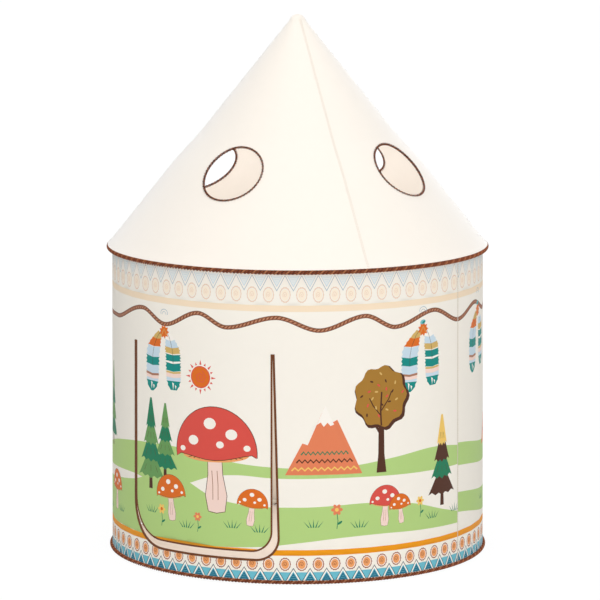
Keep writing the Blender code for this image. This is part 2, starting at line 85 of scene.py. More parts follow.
EAVE_PIPING = 0.012
BASE_PIPING = 0.010
EAVE_RING = (0.5238, 0.8474)
BASE_RING = (0.5222, 0.0057)
RIM_CORD = 0.0082
GROUND_RADIUS = 0.508
TIE_TOP = 0.700
TIE_LENGTH = 0.140
TIE_WIDTH = 0.018
TIE_BEARING = math.radians(16.0)
WINDOW_RADIUS = 0.090
WINDOWS = ((2.0, 0.637), (88.5, 0.637), (184.5, 0.655), (254.5, 0.715))

# Cloth, tapes, seams and stitches
CLOTH = 0.0012
TAPE_WIDTH = 0.0062
FLAP_TAPE = 0.0050
TAPE_THICK = 0.0030
TAPE_INSET = 0.0012
SEAM_STRIP = (0.0018, 0.0008)
SEAM_DEPTH = 0.0001
SEAM_ROW = 0.0022
SEAM_ROW_LIFT = 0.00045
DOOR_ROW = 0.0020
DOOR_ROW_LIFT = 0.0010
STITCH = 0.0034
STITCH_STEP = 0.0050
THREAD = 0.00036
THREAD_LIFT = 0.0001
THREAD_RELIEF = 0.00018
CREASE_RELIEF = 0.0024
RIM_INSET = 0.0026
RIM_PITCH = 0.018
EAVE_CORD_SHARE = 0.617
EAVE_PITCH = 0.030
BASE_CORD_SHARE = 0.56
BASE_PITCH = 0.028
TIE_GAP = 0.0022
TIE_FALL = 0.009
GROUND_LIFT = 0.0028
GROUND_WAVE = 0.0011
LATTICE = 0.0115

# Prints
REPEATS = 73
PITCH = 2.0 * math.pi * WALL_RADIUS / REPEATS
ROPE_WIDTH = 0.0118
ROPE_TURNS = ((-52.0, 0.671), (-40.0, 0.6735), (-21.0, 0.7185), (-10.6, 0.6840), (2.2, 0.7252),
              (11.5, 0.6925), (27.0, 0.7235), (39.8, 0.6890), (53.8, 0.7239), (63.8, 0.6880),
              (78.5, 0.7215), (91.0, 0.6820), (103.3, 0.7140))
ROPE_BACK_HEIGHTS = (0.720, 0.684)
CYAN_BAND = (0.004, 0.0330)
STRIPE = (0.0780, 0.0935)
PALE_STRIPE = (0.7395, 0.7565)
# Foot and tip of a border's arches, and the height and radii of its medallions
LOWER_BORDER = (0.0065, 0.0452, 0.0550, (0.0152, 0.0180))
UPPER_BORDER = (0.8365, 0.7945, 0.7852, (0.0148, 0.0212))
ROPE_BACK_TURNS = 17
ROPE_LAY = 0.0105

ROOF_ANGLE = math.atan2(ROOF_RISE, EAVE_RADIUS)
APEX = EAVE_HEIGHT + ROOF_RISE
SLANT = math.hypot(ROOF_RISE, EAVE_RADIUS)
HEM = SLANT - EAVE_PIPING * 1.05
ROOF_BELLY = 0.0068
HEM_LIFT = 0.0020
WALL_FLARE = 0.0055
STRAND_TURN = 0.02
SEAM_S = WALL_RADIUS * WALL_SEAM
ROUND = 2.0 * math.pi * WALL_RADIUS

# The photograph's camera: focal length and width in its pixels, place in metres
PHOTO_FOCAL = 3883.0
PHOTO_WIDTH = 600.0
CAMERA_BEARING = math.radians(33.3)
CAMERA_PITCH = math.radians(8.89)
CAMERA_DISTANCE = 10.7
CAMERA_HEIGHT = 2.365
CAMERA_ASIDE = 0.0067
KEY_BEARING = math.radians(33.3 + 7.0)


def linear(colour):
    """Linear values of a display colour given in 0 to 255."""
    shares = [c / 255.0 for c in colour]
    return tuple(c / 12.92 if c <= 0.04045 else ((c + 0.055) / 1.055) ** 2.4 for c in shares)


INKS = {
    "cream": (252, 246, 235),
    "green": (183, 214, 132),
    "stripe": (243, 156, 22),
    "ring": (158, 78, 52),
    "peach": (244, 166, 104),
    "paper": (255, 249, 240),
    "navy": (24, 62, 84),
    "teal": (42, 116, 143),
    "cyan": (112, 194, 212),
    "pale_line": (176, 190, 200),
    "pale_blue": (208, 222, 228),
    "mist": (236, 239, 236),
    "pale_peach": (254, 239, 218),
    "pale_ring": (238, 210, 186),
    "pale_stripe": (252, 230, 200),
    "rope": (158, 100, 74),
    "rope_dark": (110, 62, 38),
    "rope_light": (198, 142, 108),
    "quill": (62, 44, 40),
    "sea": (18, 142, 134),
    "sea_light": (120, 196, 200),
    "ice": (205, 224, 236),
    "orange": (226, 112, 36),
    "gold": (216, 180, 106),
    "chevron": (176, 124, 98),
    "red": (222, 84, 74),
    "coral": (232, 132, 92),
    "blush": (250, 220, 208),
    "ochre": (170, 124, 52),
    "umber": (84, 50, 36),
    "leaf": (108, 158, 92),
    "pine": (38, 128, 92),
    "sun": (248, 206, 108),
}


def wall_place(s, z, depth):
    """Points of the wall's cloth from its flat layout, at a depth under the outer face.

    The wall flares a little down to its foot, as in the photograph.
    """
    bearing = s / WALL_RADIUS
    radius = WALL_RADIUS - depth + WALL_FLARE * (1.0 - z / WALL_TOP)
    return np.stack((radius * np.sin(bearing), -radius * np.cos(bearing), z), axis=1)


def belly(away):
    """How far the roof's cloth bellies out from the straight cone, at a distance from its tip."""
    share = np.clip((away - 0.42) / 0.14, 0.0, 1.0)
    last = np.clip((away - HEM + 0.03) / 0.03, 0.0, 1.0)
    return ROOF_BELLY * share * share * (3.0 - 2.0 * share) + HEM_LIFT * last * last


def roof_place(x, y, depth):
    """Points of the roof's cloth from its flat sector, whose tip is at (0, 0)."""
    away = np.hypot(x, y)
    bearing = np.arctan2(x, -y) / math.cos(ROOF_ANGLE)
    tip = PEAK_RADIUS / math.cos(ROOF_ANGLE)
    turn = (1.0 - np.clip(away / tip, 0.0, 1.0)) * (math.pi / 2)
    foot = EAVE_HEIGHT + (EAVE_RADIUS - PEAK_RADIUS) * math.tan(ROOF_ANGLE)
    round_r = (PEAK_RADIUS - depth) * np.cos(turn)
    round_z = foot + (APEX - PEAK_DROP - depth - foot) * np.sin(turn)
    depth = depth - belly(away)
    straight_r = away * math.cos(ROOF_ANGLE) - depth * math.sin(ROOF_ANGLE)
    straight_z = APEX - away * math.sin(ROOF_ANGLE) - depth * math.cos(ROOF_ANGLE)
    radius = np.where(away < tip, round_r, straight_r)
    height = np.where(away < tip, round_z, straight_z)
    return np.stack((radius * np.sin(bearing), -radius * np.cos(bearing), height), axis=1)


def roof_at(middle):
    """The roof's place function, with the middle of the flat sector turned to a bearing."""
    c, s = math.cos(middle), math.sin(middle)

    def place(x, y, depth):
        p = roof_place(x, y, depth)
        return np.stack((p[:, 0] * c - p[:, 1] * s, p[:, 0] * s + p[:, 1] * c, p[:, 2]), axis=1)

    return place


def roof_flat(bearing, away):
    turn = bearing * math.cos(ROOF_ANGLE)
    return (away * math.sin(turn), -away * math.cos(turn))


def inside(points, ring):
    """Which of the points lie within a closed outline."""
    x, y = points[:, 0], points[:, 1]
    hit = np.zeros(len(points), dtype=bool)
    ring = np.asarray(ring)
    for (ax, ay), (bx, by) in zip(ring, np.roll(ring, -1, axis=0)):
        if ay == by:
            continue
        crosses = (ay > y) != (by > y)
        hit ^= crosses & (x < ax + (bx - ax) * (y - ay) / (by - ay))
    return hit


def cut_part(outline, holes, prints, lattice):
    """Triangles of one part of a flat cloth and the ink of each, with the last print on top."""
    points = [tuple(p) for p in lattice]
    faces = []
    for ring in [outline, *holes, *[ring for _, ring in prints]]:
        x, y = np.array(ring).T
        anticlockwise = (x * np.roll(y, -1) - y * np.roll(x, -1)).sum() > 0.0
        order = range(len(points), len(points) + len(ring))
        faces.append(list(order if anticlockwise else reversed(order)))
        points += [(float(a), float(b)) for a, b in ring]
    flat, _, cells, _, _, _ = delaunay_2d_cdt([Vector(p) for p in points], [], faces, 1, 1e-7, True)
    flat = np.array([tuple(v) for v in flat])
    tris = np.array([cell for cell in cells if len(cell) == 3]).reshape(-1, 3)
    centres = flat[tris].mean(axis=1)
    kept = inside(centres, outline)
    for ring in holes:
        kept &= ~inside(centres, ring)
    tris, centres = tris[kept], centres[kept]
    inks = np.full(len(tris), "cream", dtype=object)
    for ink, ring in prints:
        low, high = np.min(ring, axis=0), np.max(ring, axis=0)
        near = np.nonzero(((centres > low) & (centres < high)).all(axis=1))[0]
        inks[near[inside(centres[near], ring)]] = ink
    a, b, c = (flat[tris[:, k]] for k in range(3))
    turn = (b[:, 0] - a[:, 0]) * (c[:, 1] - a[:, 1]) - (b[:, 1] - a[:, 1]) * (c[:, 0] - a[:, 0])
    tris[turn < 0] = tris[turn < 0][:, ::-1]
    return flat, tris, inks.tolist()


def joined(parts, lines):
    """Parts cut side by side as one cloth, whose corners on the cutting lines are shared."""
    flat = np.concatenate([part[0] for part in parts])
    starts = np.cumsum([0] + [len(part[0]) for part in parts])
    tris = np.concatenate([part[1] + start for part, start in zip(parts, starts)])
    inks = [ink for part in parts for ink in part[2]]
    same = np.arange(len(flat))
    for line in lines:
        on = np.nonzero(np.abs(flat[:, 0] - line) < 1e-7)[0]
        on = on[np.argsort(flat[on, 1], kind="stable")]
        for first, second in zip(on[:-1], on[1:]):
            if flat[second, 1] - flat[first, 1] < 1e-6:
                same[second] = same[first]
    tris = same[tris]
    whole = (tris[:, 0] != tris[:, 1]) & (tris[:, 1] != tris[:, 2]) & (tris[:, 2] != tris[:, 0])
    return flat, tris[whole], [ink for ink, yes in zip(inks, whole) if yes]


def cut_flat(outline, holes, prints, lattice, slabs):
    """A flat cloth cut with its prints, slab by slab between upright lines given by slabs."""
    if len(slabs) == 0:
        ring = np.array(outline)
        (left, low), (right, high) = ring.min(axis=0), ring.max(axis=0)
        prints = [(ink, r) for ink, r in prints if max(z for _, z in r) > low and min(z for _, z in r) < high]
        prints = [(ink, clipped(r, left - 0.02, right + 0.02)) for ink, r in prints]
        prints = [(ink, r) for ink, r in prints if len(r) > 2]
        return cut_part(outline, holes, prints, lattice[inside(lattice, outline)])
    lattice = lattice[np.abs(lattice[:, :1] - slabs[None, :]).min(axis=1) > 1e-6]
    low, high = min(z for _, z in outline), max(z for _, z in outline)
    parts = []
    for start, end in zip(slabs[:-1], slabs[1:]):
        reach = [(ink, clipped(ring, start - 0.02, end + 0.02)) for ink, ring in prints]
        reach = [(ink, ring) for ink, ring in reach if len(ring) > 2]
        cuts = [ring for ring in holes if max(s for s, _ in ring) > start and min(s for s, _ in ring) < end]
        own = lattice[(lattice[:, 0] > start) & (lattice[:, 0] < end)]
        parts.append(cut_part(frame_of(start, end, low, high, LATTICE), cuts, reach, own))
    return joined(parts, slabs[1:-1])


def clipped(ring, first, last):
    """A closed outline cut down to the part between two upright lines."""
    for line, sign in ((first, 1.0), (last, -1.0)):
        kept = []
        for (ax, ay), (bx, by) in zip(ring, [*ring[1:], *ring[:1]]):
            within_a, within_b = sign * (ax - line) >= 0.0, sign * (bx - line) >= 0.0
            if within_a:
                kept.append((ax, ay))
            if within_a != within_b:
                kept.append((line, ay + (by - ay) * (line - ax) / (bx - ax)))
        ring = kept
    return ring


def cloth_piece(name, outline, place, lattice, inks, holes=(), prints=(), slabs=()):
    """A cloth cut flat, printed, shaped by place(s, z, depth) and given its thickness."""
    flat, tris, colours = cut_flat(outline, list(holes), list(prints), lattice, slabs)
    used = np.unique(tris)
    renumber = np.full(len(flat), -1)
    renumber[used] = np.arange(len(used))
    flat, tris = flat[used], renumber[tris]
    count = len(flat)
    outer = place(flat[:, 0], flat[:, 1], 0.0)
    inner = place(flat[:, 0], flat[:, 1], CLOTH)
    edges = np.concatenate([tris[:, [0, 1]], tris[:, [1, 2]], tris[:, [2, 0]]])
    whole = set(map(tuple, edges.tolist()))
    border = np.array([e for e in edges.tolist() if (e[1], e[0]) not in whole])
    sides_a = np.stack((border[:, 1], border[:, 0], border[:, 0] + count), axis=1)
    sides_b = np.stack((border[:, 1], border[:, 0] + count, border[:, 1] + count), axis=1)
    faces = np.concatenate([tris, tris[:, ::-1] + count, sides_a, sides_b])
    mesh = bpy.data.meshes.new(name)
    mesh.from_pydata(np.concatenate([outer, inner]).tolist(), [], faces.tolist())
    names = sorted(set(colours))
    for ink in [*names, "lining"]:
        mesh.materials.append(inks[ink])
    index = [names.index(ink) for ink in colours]
    index += [len(names)] * (len(faces) - len(tris))
    mesh.polygons.foreach_set("material_index", index)
    low, high = flat.min(axis=0), flat.max(axis=0)
    scale = 1.0 / max(high[0] - low[0] + 0.02, 2.0 * (high[1] - low[1]) + 0.04)
    spot = (flat - low + 0.01) * scale
    above = spot + [0.0, (high[1] - low[1] + 0.02) * scale]
    run = flat[border[:, 0]] - flat[border[:, 1]]
    out = unit(np.stack((-run[:, 1], run[:, 0]), axis=1)) * 0.004 * scale
    a, b = spot[border[:, 1]], spot[border[:, 0]]
    corners = [spot[tris].reshape(-1, 2), above[tris[:, ::-1]].reshape(-1, 2)]
    corners.append(np.stack((a, b, b + out), axis=1).reshape(-1, 2))
    corners.append(np.stack((a, b + out, a + out), axis=1).reshape(-1, 2))
    bake = mesh.uv_layers.new(name="OFBake")
    bake.data.foreach_set("uv", np.concatenate(corners).ravel().astype(np.float32))
    weave = mesh.uv_layers.new(name="Weave")
    metres = np.concatenate([flat, flat])[faces].reshape(-1, 2)
    weave.data.foreach_set("uv", metres.ravel().astype(np.float32))
    mesh.shade_smooth()
    mesh.update()
    mesh.set_sharp_from_angle(angle=math.radians(50.0))
    return add(name, mesh)


def add(name, mesh):
    obj = bpy.data.objects.new(name, mesh)
    bpy.context.scene.collection.objects.link(obj)
    return obj


def unit(rows):
    """Rows of vectors brought to length one."""
    return rows / np.maximum(np.linalg.norm(rows, axis=1, keepdims=True), 1e-9)


def run_along(line):
    """Distance along a line at each of its points."""
    return np.concatenate([[0.0], np.cumsum(np.linalg.norm(np.diff(line, axis=0), axis=1))])


def along(points, width):
    """A band of a width along an open line of flat points, as one closed outline."""
    p = np.asarray(points, dtype=float)
    steps = np.diff(p, axis=0)
    ahead, behind = np.concatenate([steps, steps[-1:]]), np.concatenate([steps[:1], steps])
    way = unit(unit(ahead) + unit(behind))
    side = np.stack((-way[:, 1], way[:, 0]), axis=1) * (width / 2)
    return np.concatenate([p + side, (p - side)[::-1]]).tolist()


def oval(x, y, a, b, steps, turn=0.0, lobes=0, depth=0.0):
    """An oval, or with lobes a scalloped one."""
    ring, c, s = [], math.cos(turn), math.sin(turn)
    for i in range(steps):
        t = 2.0 * math.pi * i / steps
        swell = 1.0 + depth * math.cos(lobes * t)
        u, v = a * swell * math.cos(t), b * swell * math.sin(t)
        ring.append((x + u * c - v * s, y + u * s + v * c))
    return ring


def moved(rings, x, y, turn=0.0, size=1.0):
    """A motif's (ink, outline) pairs, drawn round (0, 0), put in their place."""
    c, s = size * math.cos(turn), size * math.sin(turn)
    return [(ink, [(x + c * a - s * b, y + s * a + c * b) for a, b in ring]) for ink, ring in rings]


def smooth_line(knots, step):
    """A smooth line through knots of (s, z), which rise in s, sampled at a step."""
    k = np.asarray(knots, dtype=float)
    s = np.linspace(k[0, 0], k[-1, 0], max(2, int((k[-1, 0] - k[0, 0]) / step) + 1))
    slope = np.gradient(k[:, 1], k[:, 0])
    i = np.clip(np.searchsorted(k[:, 0], s, side="right") - 1, 0, len(k) - 2)
    h = k[i + 1, 0] - k[i, 0]
    t = (s - k[i, 0]) / h
    z = (2 * t**3 - 3 * t**2 + 1) * k[i, 1] + (t**3 - 2 * t**2 + t) * h * slope[i]
    z = z + (-2 * t**3 + 3 * t**2) * k[i + 1, 1] + (t**3 - t**2) * h * slope[i + 1]
    return np.stack((s, z), axis=1)


def at(bearing_deg):
    """Distance along the wall of a bearing given in degrees."""
    return math.radians(bearing_deg) * WALL_RADIUS


def arch(c, foot, tip, half, shrink):
    """A pointed arch between two borders' heights; shrink draws a smaller one inside it."""
    rise = tip - foot
    tops = ((1.0, 0.0), (0.60, 0.42), (0.26, 0.76), (0.0, 1.0))
    grow = 1.0 - shrink
    right = [(c + half * grow * x, foot + rise * grow * y) for x, y in tops]
    left = [(c - half * grow * x, foot + rise * grow * y) for x, y in reversed(tops[:-1])]
    return right + left


def spiral(x, y, a, b, turns, width):
    line = []
    for i in range(13):
        share = i / 12
        t = 2.0 * math.pi * turns * share
        line.append((x + a * share * math.cos(t), y + b * share * math.sin(t)))
    return along(line, width)


def border(first, last, foot, tip, centre, radii, tones):
    """One row of arches and medallions; tones are the inks from the outline inwards."""
    outline, paper, light, fill, ring, disc = tones
    rings = []
    a, b = radii
    hatch = 0.0009 if tip > foot else -0.0009
    for k in range(math.floor(first / PITCH) - 1, math.ceil(last / PITCH) + 1):
        s = k * PITCH
        c = s + PITCH / 2
        for ink, shrink in ((outline, 0.0), (paper, 0.085), (light, 0.27), (fill, 0.36)):
            rings.append((ink, arch(c, foot, tip, PITCH * 0.505, shrink)))
        for share in (0.10, 0.24, 0.38):
            z = foot + (tip - foot) * share
            w = PITCH * 0.5 * (0.52 - share)
            top = z + hatch
            rings.append((light, [(c - w, z), (c + w, z), (c + w * 0.9, top), (c - w * 0.9, top)]))
        rings.append((ring, oval(s, centre, a, b, 28, 0.0, 14, 0.035)))
        rings.append((paper, oval(s, centre, a * 0.84, b * 0.84, 18)))
        rings.append((disc, oval(s, centre, a * 0.70, b * 0.72, 16)))
        rings.append((ring, spiral(s, centre, a * 0.42, b * 0.46, 1.6, 0.0013)))
    return rings


def level_band(ink, first, last, low, high):
    return (ink, [(first, low), (last, low), (last, high), (first, high)])


def rope_at(s):
    """Height of the printed rope: it eases from each crest and trough to the next."""
    first, last = ROPE_TURNS[0], ROPE_TURNS[-1]
    half = (first[0] + 360.0 - last[0]) / ROPE_BACK_TURNS
    turns = list(ROPE_TURNS)
    turns += [(last[0] + half * k, ROPE_BACK_HEIGHTS[k % 2]) for k in range(1, ROPE_BACK_TURNS)]
    turns.append((first[0] + 360.0, first[1]))
    bearing = (math.degrees(s / WALL_RADIUS) - first[0]) % 360.0 + first[0]
    i = max(k for k in range(len(turns) - 1) if turns[k][0] <= bearing)
    t = (bearing - turns[i][0]) / (turns[i + 1][0] - turns[i][0])
    return turns[i][1] + (turns[i + 1][1] - turns[i][1]) * t * t * (3.0 - 2.0 * t)


def rope_line(first, last):
    """The printed rope that swings round the tent under its upper border."""
    steps = int((last - first) / 0.0075) + 1
    line = [(first + (last - first) * i / steps, 0.0) for i in range(steps + 1)]
    line = [(s, rope_at(s)) for s, _ in line]
    rings = [("rope_dark", along(line, ROPE_WIDTH)), ("rope", along(line, ROPE_WIDTH * 0.76))]
    w = ROPE_WIDTH * 0.40
    dash = [(-0.0042, -0.0024), (0.0014, -0.0014), (0.0044, 0.0024), (-0.0012, 0.0014)]
    gap = [(-0.0056, -w), (-0.0032, -w), (0.0056, w), (0.0032, w)]
    for i in range(int((last - first) / ROPE_LAY)):
        s = first + ROPE_LAY * (i + 0.5)
        way = math.atan2(rope_at(s + 0.002) - rope_at(s - 0.002), 0.004)
        rings += moved([("rope_light", dash)], s, rope_at(s), way)
        s += ROPE_LAY / 2
        rings += moved([("rope_dark", gap)], s, rope_at(s), way)
    return rings


def feather(bands, length, width, splay):
    """A hanging feather from its quill at (0, 0) down, in bands of ink with ragged edges.

    It swings aside by splay in its upper part and hangs straight below that.
    """

    def half(t):
        narrowing = max(0.0, 1.0 - max(0.0, t - 0.72) ** 2 / 0.081)
        return width / 2 * min(1.0, 0.30 + 2.4 * t) * math.sqrt(narrowing)

    def spot(x, t):
        return (x + splay * (1.0 - (1.0 - min(1.0, t / 0.45)) ** 2), -t * length)

    rings = []
    for ink, start, end, dip in bands:
        ts = [start + (end - start) * i / 4 for i in range(5)]
        left = [spot(-half(t) * (1.0 - 0.13 * (i % 2)), t) for i, t in enumerate(ts)]
        right = [spot(half(t) * (1.0 - 0.13 * (i % 2)), t) for i, t in enumerate(ts)][::-1]
        low, high = (spot(0.0, end + dip / length), spot(0.0, start + dip / length))
        rings.append((ink, [*left, low, *right, high]))
    rings.append(("quill", along([spot(0.0, t) for t in (-0.03, 0.12, 0.28, 0.42, 0.58)], 0.0011)))
    for x, t, end in ((-0.002, 0.85, 0.975), (0.007, 0.89, 0.965)):
        rings.append(("paper", [spot(x - 0.003, t), spot(x, end), spot(x + 0.003, t + 0.02)]))
    return rings


def feather_pair(s, top, bead=True):
    """Two feathers under a spiky tuft, with a faint knot above and maybe a bead under the rope."""
    left = (
        ("gold", 0.02, 0.16, 0.004), ("orange", 0.14, 0.27, 0.003), ("ice", 0.27, 0.44, 0.005),
        ("sea", 0.44, 0.57, 0.004), ("ice", 0.57, 0.70, 0.004), ("chevron", 0.70, 0.735, 0.004),
        ("blush", 0.735, 0.79, 0.004), ("ice", 0.79, 0.84, 0.003), ("sea", 0.84, 1.0, 0.0),
    )
    right = (
        ("paper", 0.02, 0.14, 0.004), ("ice", 0.14, 0.26, 0.005), ("gold", 0.26, 0.36, 0.004),
        ("sea", 0.38, 0.49, 0.003), ("paper", 0.49, 0.52, 0.003), ("sea", 0.52, 0.65, 0.004),
        ("gold", 0.66, 0.69, 0.003), ("blush", 0.69, 0.76, 0.003), ("ice", 0.76, 0.83, 0.003),
        ("sea", 0.83, 0.98, 0.0),
    )
    rings = moved(feather(left, 0.172, 0.057, -0.034), s - 0.010, top, -0.03)
    rings += moved(feather(right, 0.164, 0.056, 0.021), s + 0.010, top, 0.03)
    spikes = []
    for i in range(18):
        t = 2.0 * math.pi * i / 18
        reach = (1.0, 0.66)[i % 2]
        spikes.append((s + 0.019 * reach * math.cos(t), top - 0.004 + 0.020 * reach * math.sin(t)))
    rings.append(("orange", spikes))
    fork = [(s - 0.009, top - 0.012), (s, top + 0.004), (s + 0.009, top - 0.012)]
    rings.append(("gold", along(fork, 0.002)))
    if bead:
        rings.append(("sea_light", oval(s - 0.001, top + 0.016, 0.010, 0.0062, 14, 0.2)))
        rings.append(("sea", oval(s + 0.002, top + 0.015, 0.0062, 0.0034, 12, 0.5)))
    for radius, rise, wide in ((0.013, 0.047, 0.0018), (0.007, 0.045, 0.0014)):
        turns = np.linspace(-0.4, 3.5, 9)
        knot = [(s + radius * math.cos(t), top + rise + radius * 0.8 * math.sin(t)) for t in turns]
        rings.append(("pale_line", along(knot, wide)))
    return rings


def mushroom(cap, under, spots):
    """A toadstool about 0.2 high, drawn from its foot at (0, 0)."""
    stalk = [(-0.017, 0.0), (-0.022, 0.03), (-0.015, 0.07), (-0.014, 0.115), (0.014, 0.115)]
    stalk += [(0.015, 0.07), (0.022, 0.03), (0.017, 0.0), (0.0, -0.003)]
    turns = np.linspace(-0.10, math.pi + 0.10, 26)
    dome = [(0.085 * math.cos(t), 0.112 + 0.088 * math.sin(t)) for t in turns]
    dome += [(x, 0.104 - 0.006 * math.cos(x * 35)) for x in np.linspace(-0.075, 0.075, 9)]
    turns = np.linspace(math.pi, 2 * math.pi, 14)
    gills = [(0.070 * math.cos(t), 0.108 + 0.014 * math.sin(t)) for t in turns]
    rings = [("umber", along(stalk + stalk[:1], 0.0026)), ("blush", stalk), (under, gills)]
    for x in (i * 0.0115 for i in range(-5, 6)):
        rings.append(("umber", along([(x * 0.6, 0.108), (x, 0.097 + abs(x) * 0.08)], 0.0012)))
    rings += [("umber", along(dome + dome[:1], 0.0026)), (cap, dome)]
    for x, y, r, steps in ((-0.045, 0.135, 0.011, 14), (-0.008, 0.168, 0.013, 14), (0.036, 0.148, 0.012, 14),
                           (0.012, 0.128, 0.008, 14), (-0.070, 0.118, 0.006, 12), (0.066, 0.122, 0.007, 12)):
        rings.append((spots, oval(x, y, r, r * 0.85, steps)))
    for x in (-0.007, 0.004):
        rings.append(("chevron", along([(x, 0.022), (x + 0.001, 0.05), (x, 0.078)], 0.0014)))
    return rings


def pine(tiers):
    """A fir in tiers with notched hems, about 0.24 high."""
    rings = [("umber", [(-0.008, 0.0), (-0.006, 0.05), (0.006, 0.05), (0.008, 0.0)])]
    for i, ink in enumerate(tiers):
        low = 0.035 + i * 0.048
        wide = 0.058 - i * 0.012
        hem = []
        for k in range(9):
            x = -wide + 2.0 * wide * k / 8
            hem.append((x, low + 0.007 * (k % 2) - 0.006 * (1.0 - abs(x) / wide)))
        rings.append((ink, [*hem, (0.004, low + 0.085), (-0.004, low + 0.085)]))
    for i in range(len(tiers)):
        low = 0.050 + i * 0.048
        wide = 0.030 - i * 0.007
        for k in (-1, 0, 1):
            x = wide * k
            rings.append(("umber", along([(x * 0.7, low + 0.018), (x, low)], 0.0011)))
    return rings


def crown_tree(leaf, shade):
    """A broad tree about 0.3 high: a trunk with boughs, and a lobed crown with leaf marks."""
    trunk = [(-0.014, 0.0), (-0.009, 0.05), (-0.008, 0.13), (0.008, 0.13), (0.009, 0.05), (0.015, 0.0)]
    low_boughs = (((0.0, 0.10), (-0.022, 0.135), (-0.040, 0.160), 0.007),
                  ((0.0, 0.11), (0.022, 0.140), (0.036, 0.168), 0.006))
    high_boughs = (((0.0, 0.125), (-0.002, 0.165), (0.001, 0.215), 0.0045),
                   ((0.0, 0.150), (-0.024, 0.180), (-0.034, 0.200), 0.003),
                   ((0.0, 0.165), (0.022, 0.195), (0.030, 0.214), 0.003))
    rings = [("umber", trunk), *[("umber", along(line, width)) for *line, width in low_boughs]]
    rings.append((shade, oval(0.004, 0.198, 0.079, 0.083, 48, 0.0, 9, 0.06)))
    rings.append((leaf, oval(0.0, 0.203, 0.074, 0.079, 48, 0.0, 9, 0.06)))
    rings += [("umber", along(line, width)) for *line, width in high_boughs]
    for i in range(22):
        t, r = i * 2.399, 0.017 + 0.0023 * i
        mark = oval(r * math.cos(t), 0.203 + r * math.sin(t), 0.0052, 0.0024, 10, t + 0.7)
        rings.append((("red", "gold", shade)[i % 3], mark))
    return rings


def mountain(body, cap, bands):
    """A peak about 0.2 high with a snow cap and rows of zigzag."""
    rings = [(body, [(-0.105, 0.0), (-0.060, 0.085), (-0.046, 0.080), (0.0, 0.185), (0.020, 0.140),
                     (0.032, 0.146), (0.100, 0.0)])]
    rings.append((cap, [(-0.022, 0.134), (-0.012, 0.140), (-0.004, 0.128), (0.006, 0.139), (0.014, 0.130),
                        (0.0235, 0.134), (0.020, 0.140), (0.0, 0.185)]))
    for i, ink in enumerate(bands):
        low = 0.012 + i * 0.021
        reach = 0.088 - i * 0.0125
        places = enumerate(np.linspace(-reach, reach * 0.97, 21))
        zig = [(x, low + 0.008 * (k % 2)) for k, x in places]
        rings.append((ink, along(zig, 0.0042)))
    return rings


def sun_motif(disc, ray):
    rings = []
    for i in range(16):
        t = 2.0 * math.pi * i / 16
        corners = ((0.047, t - 0.10), ((0.066, 0.058)[i % 2], t), (0.047, t + 0.10))
        rings.append((ray, [(r * math.cos(turn), r * math.sin(turn)) for r, turn in corners]))
    rings.append((ray, oval(0.0, 0.0, 0.042, 0.042, 36)))
    rings.append((disc, oval(0.0, 0.0, 0.038, 0.038, 32)))
    rings.append((ray, spiral(0.0, 0.0, 0.026, 0.026, 2.2, 0.0028)))
    return rings


def tuft():
    """A tuft of five blades of grass."""
    blades = [(i - 2) * 0.006 for i in range(5)]
    return [("pine", [(x - 0.002, 0.0), (x * 2.3, 0.024 - abs(x) * 0.5), (x + 0.002, 0.0)]) for x in blades]


def flower(petal, middle):
    rings = [("pine", along([(0.0, 0.0), (0.003, 0.022), (0.0, 0.044)], 0.0020))]
    rings.append(("pine", oval(0.008, 0.016, 0.008, 0.0032, 12, 0.6)))
    for i in range(6):
        t = 2.0 * math.pi * i / 6
        x, y = 0.0095 * math.cos(t), 0.052 + 0.0095 * math.sin(t)
        rings.append((petal, oval(x, y, 0.0066, 0.0048, 12, t)))
    rings.append((middle, oval(0.0, 0.052, 0.0052, 0.0052, 12)))
    return rings


# Edges of the green hills and the pale paths in them, as (bearing in degrees, height)
HILL_TOP = ((-100, 0.300), (-75, 0.285), (-57, 0.296), (-38, 0.330), (-19, 0.350), (-3.5, 0.352),
            (16, 0.325), (34, 0.316), (49, 0.319), (63, 0.333), (79, 0.346), (94, 0.331), (100, 0.325))
HILL_FOOT = ((-100, 0.102), (-75, 0.094), (-57, 0.090), (-35, 0.0945), (-19, 0.093), (-3, 0.0885),
             (11, 0.095), (23, 0.101), (34, 0.113), (46, 0.124), (58, 0.128), (72, 0.124), (94, 0.117),
             (100, 0.115))
GAP_TOP = ((-0.7, 0.260), (6.8, 0.284), (15, 0.293), (25, 0.289), (50, 0.288), (69, 0.284), (94, 0.281),
           (100, 0.281))
GAP_FOOT = ((-0.7, 0.260), (6.8, 0.229), (15, 0.215), (34, 0.210), (58, 0.214), (71, 0.199), (83, 0.168),
            (94, 0.146), (100, 0.140))
BACK_TOP = ((88, 0.343), (94, 0.338), (115, 0.314), (140, 0.330), (165, 0.352), (190, 0.338),
            (215, 0.310), (240, 0.322), (272, 0.300))
BACK_GAP_TOP = ((88, 0.280), (95, 0.274), (115, 0.255), (135, 0.262), (160, 0.285), (180, 0.270),
                (198, 0.236))
BACK_GAP_FOOT = ((88, 0.205), (94, 0.200), (115, 0.180), (135, 0.186), (160, 0.205), (180, 0.218),
                 (198, 0.236))
BACK_FOOT = ((88, 0.150), (94, 0.144), (115, 0.115), (140, 0.108), (170, 0.124), (200, 0.130),
             (235, 0.112), (272, 0.102))

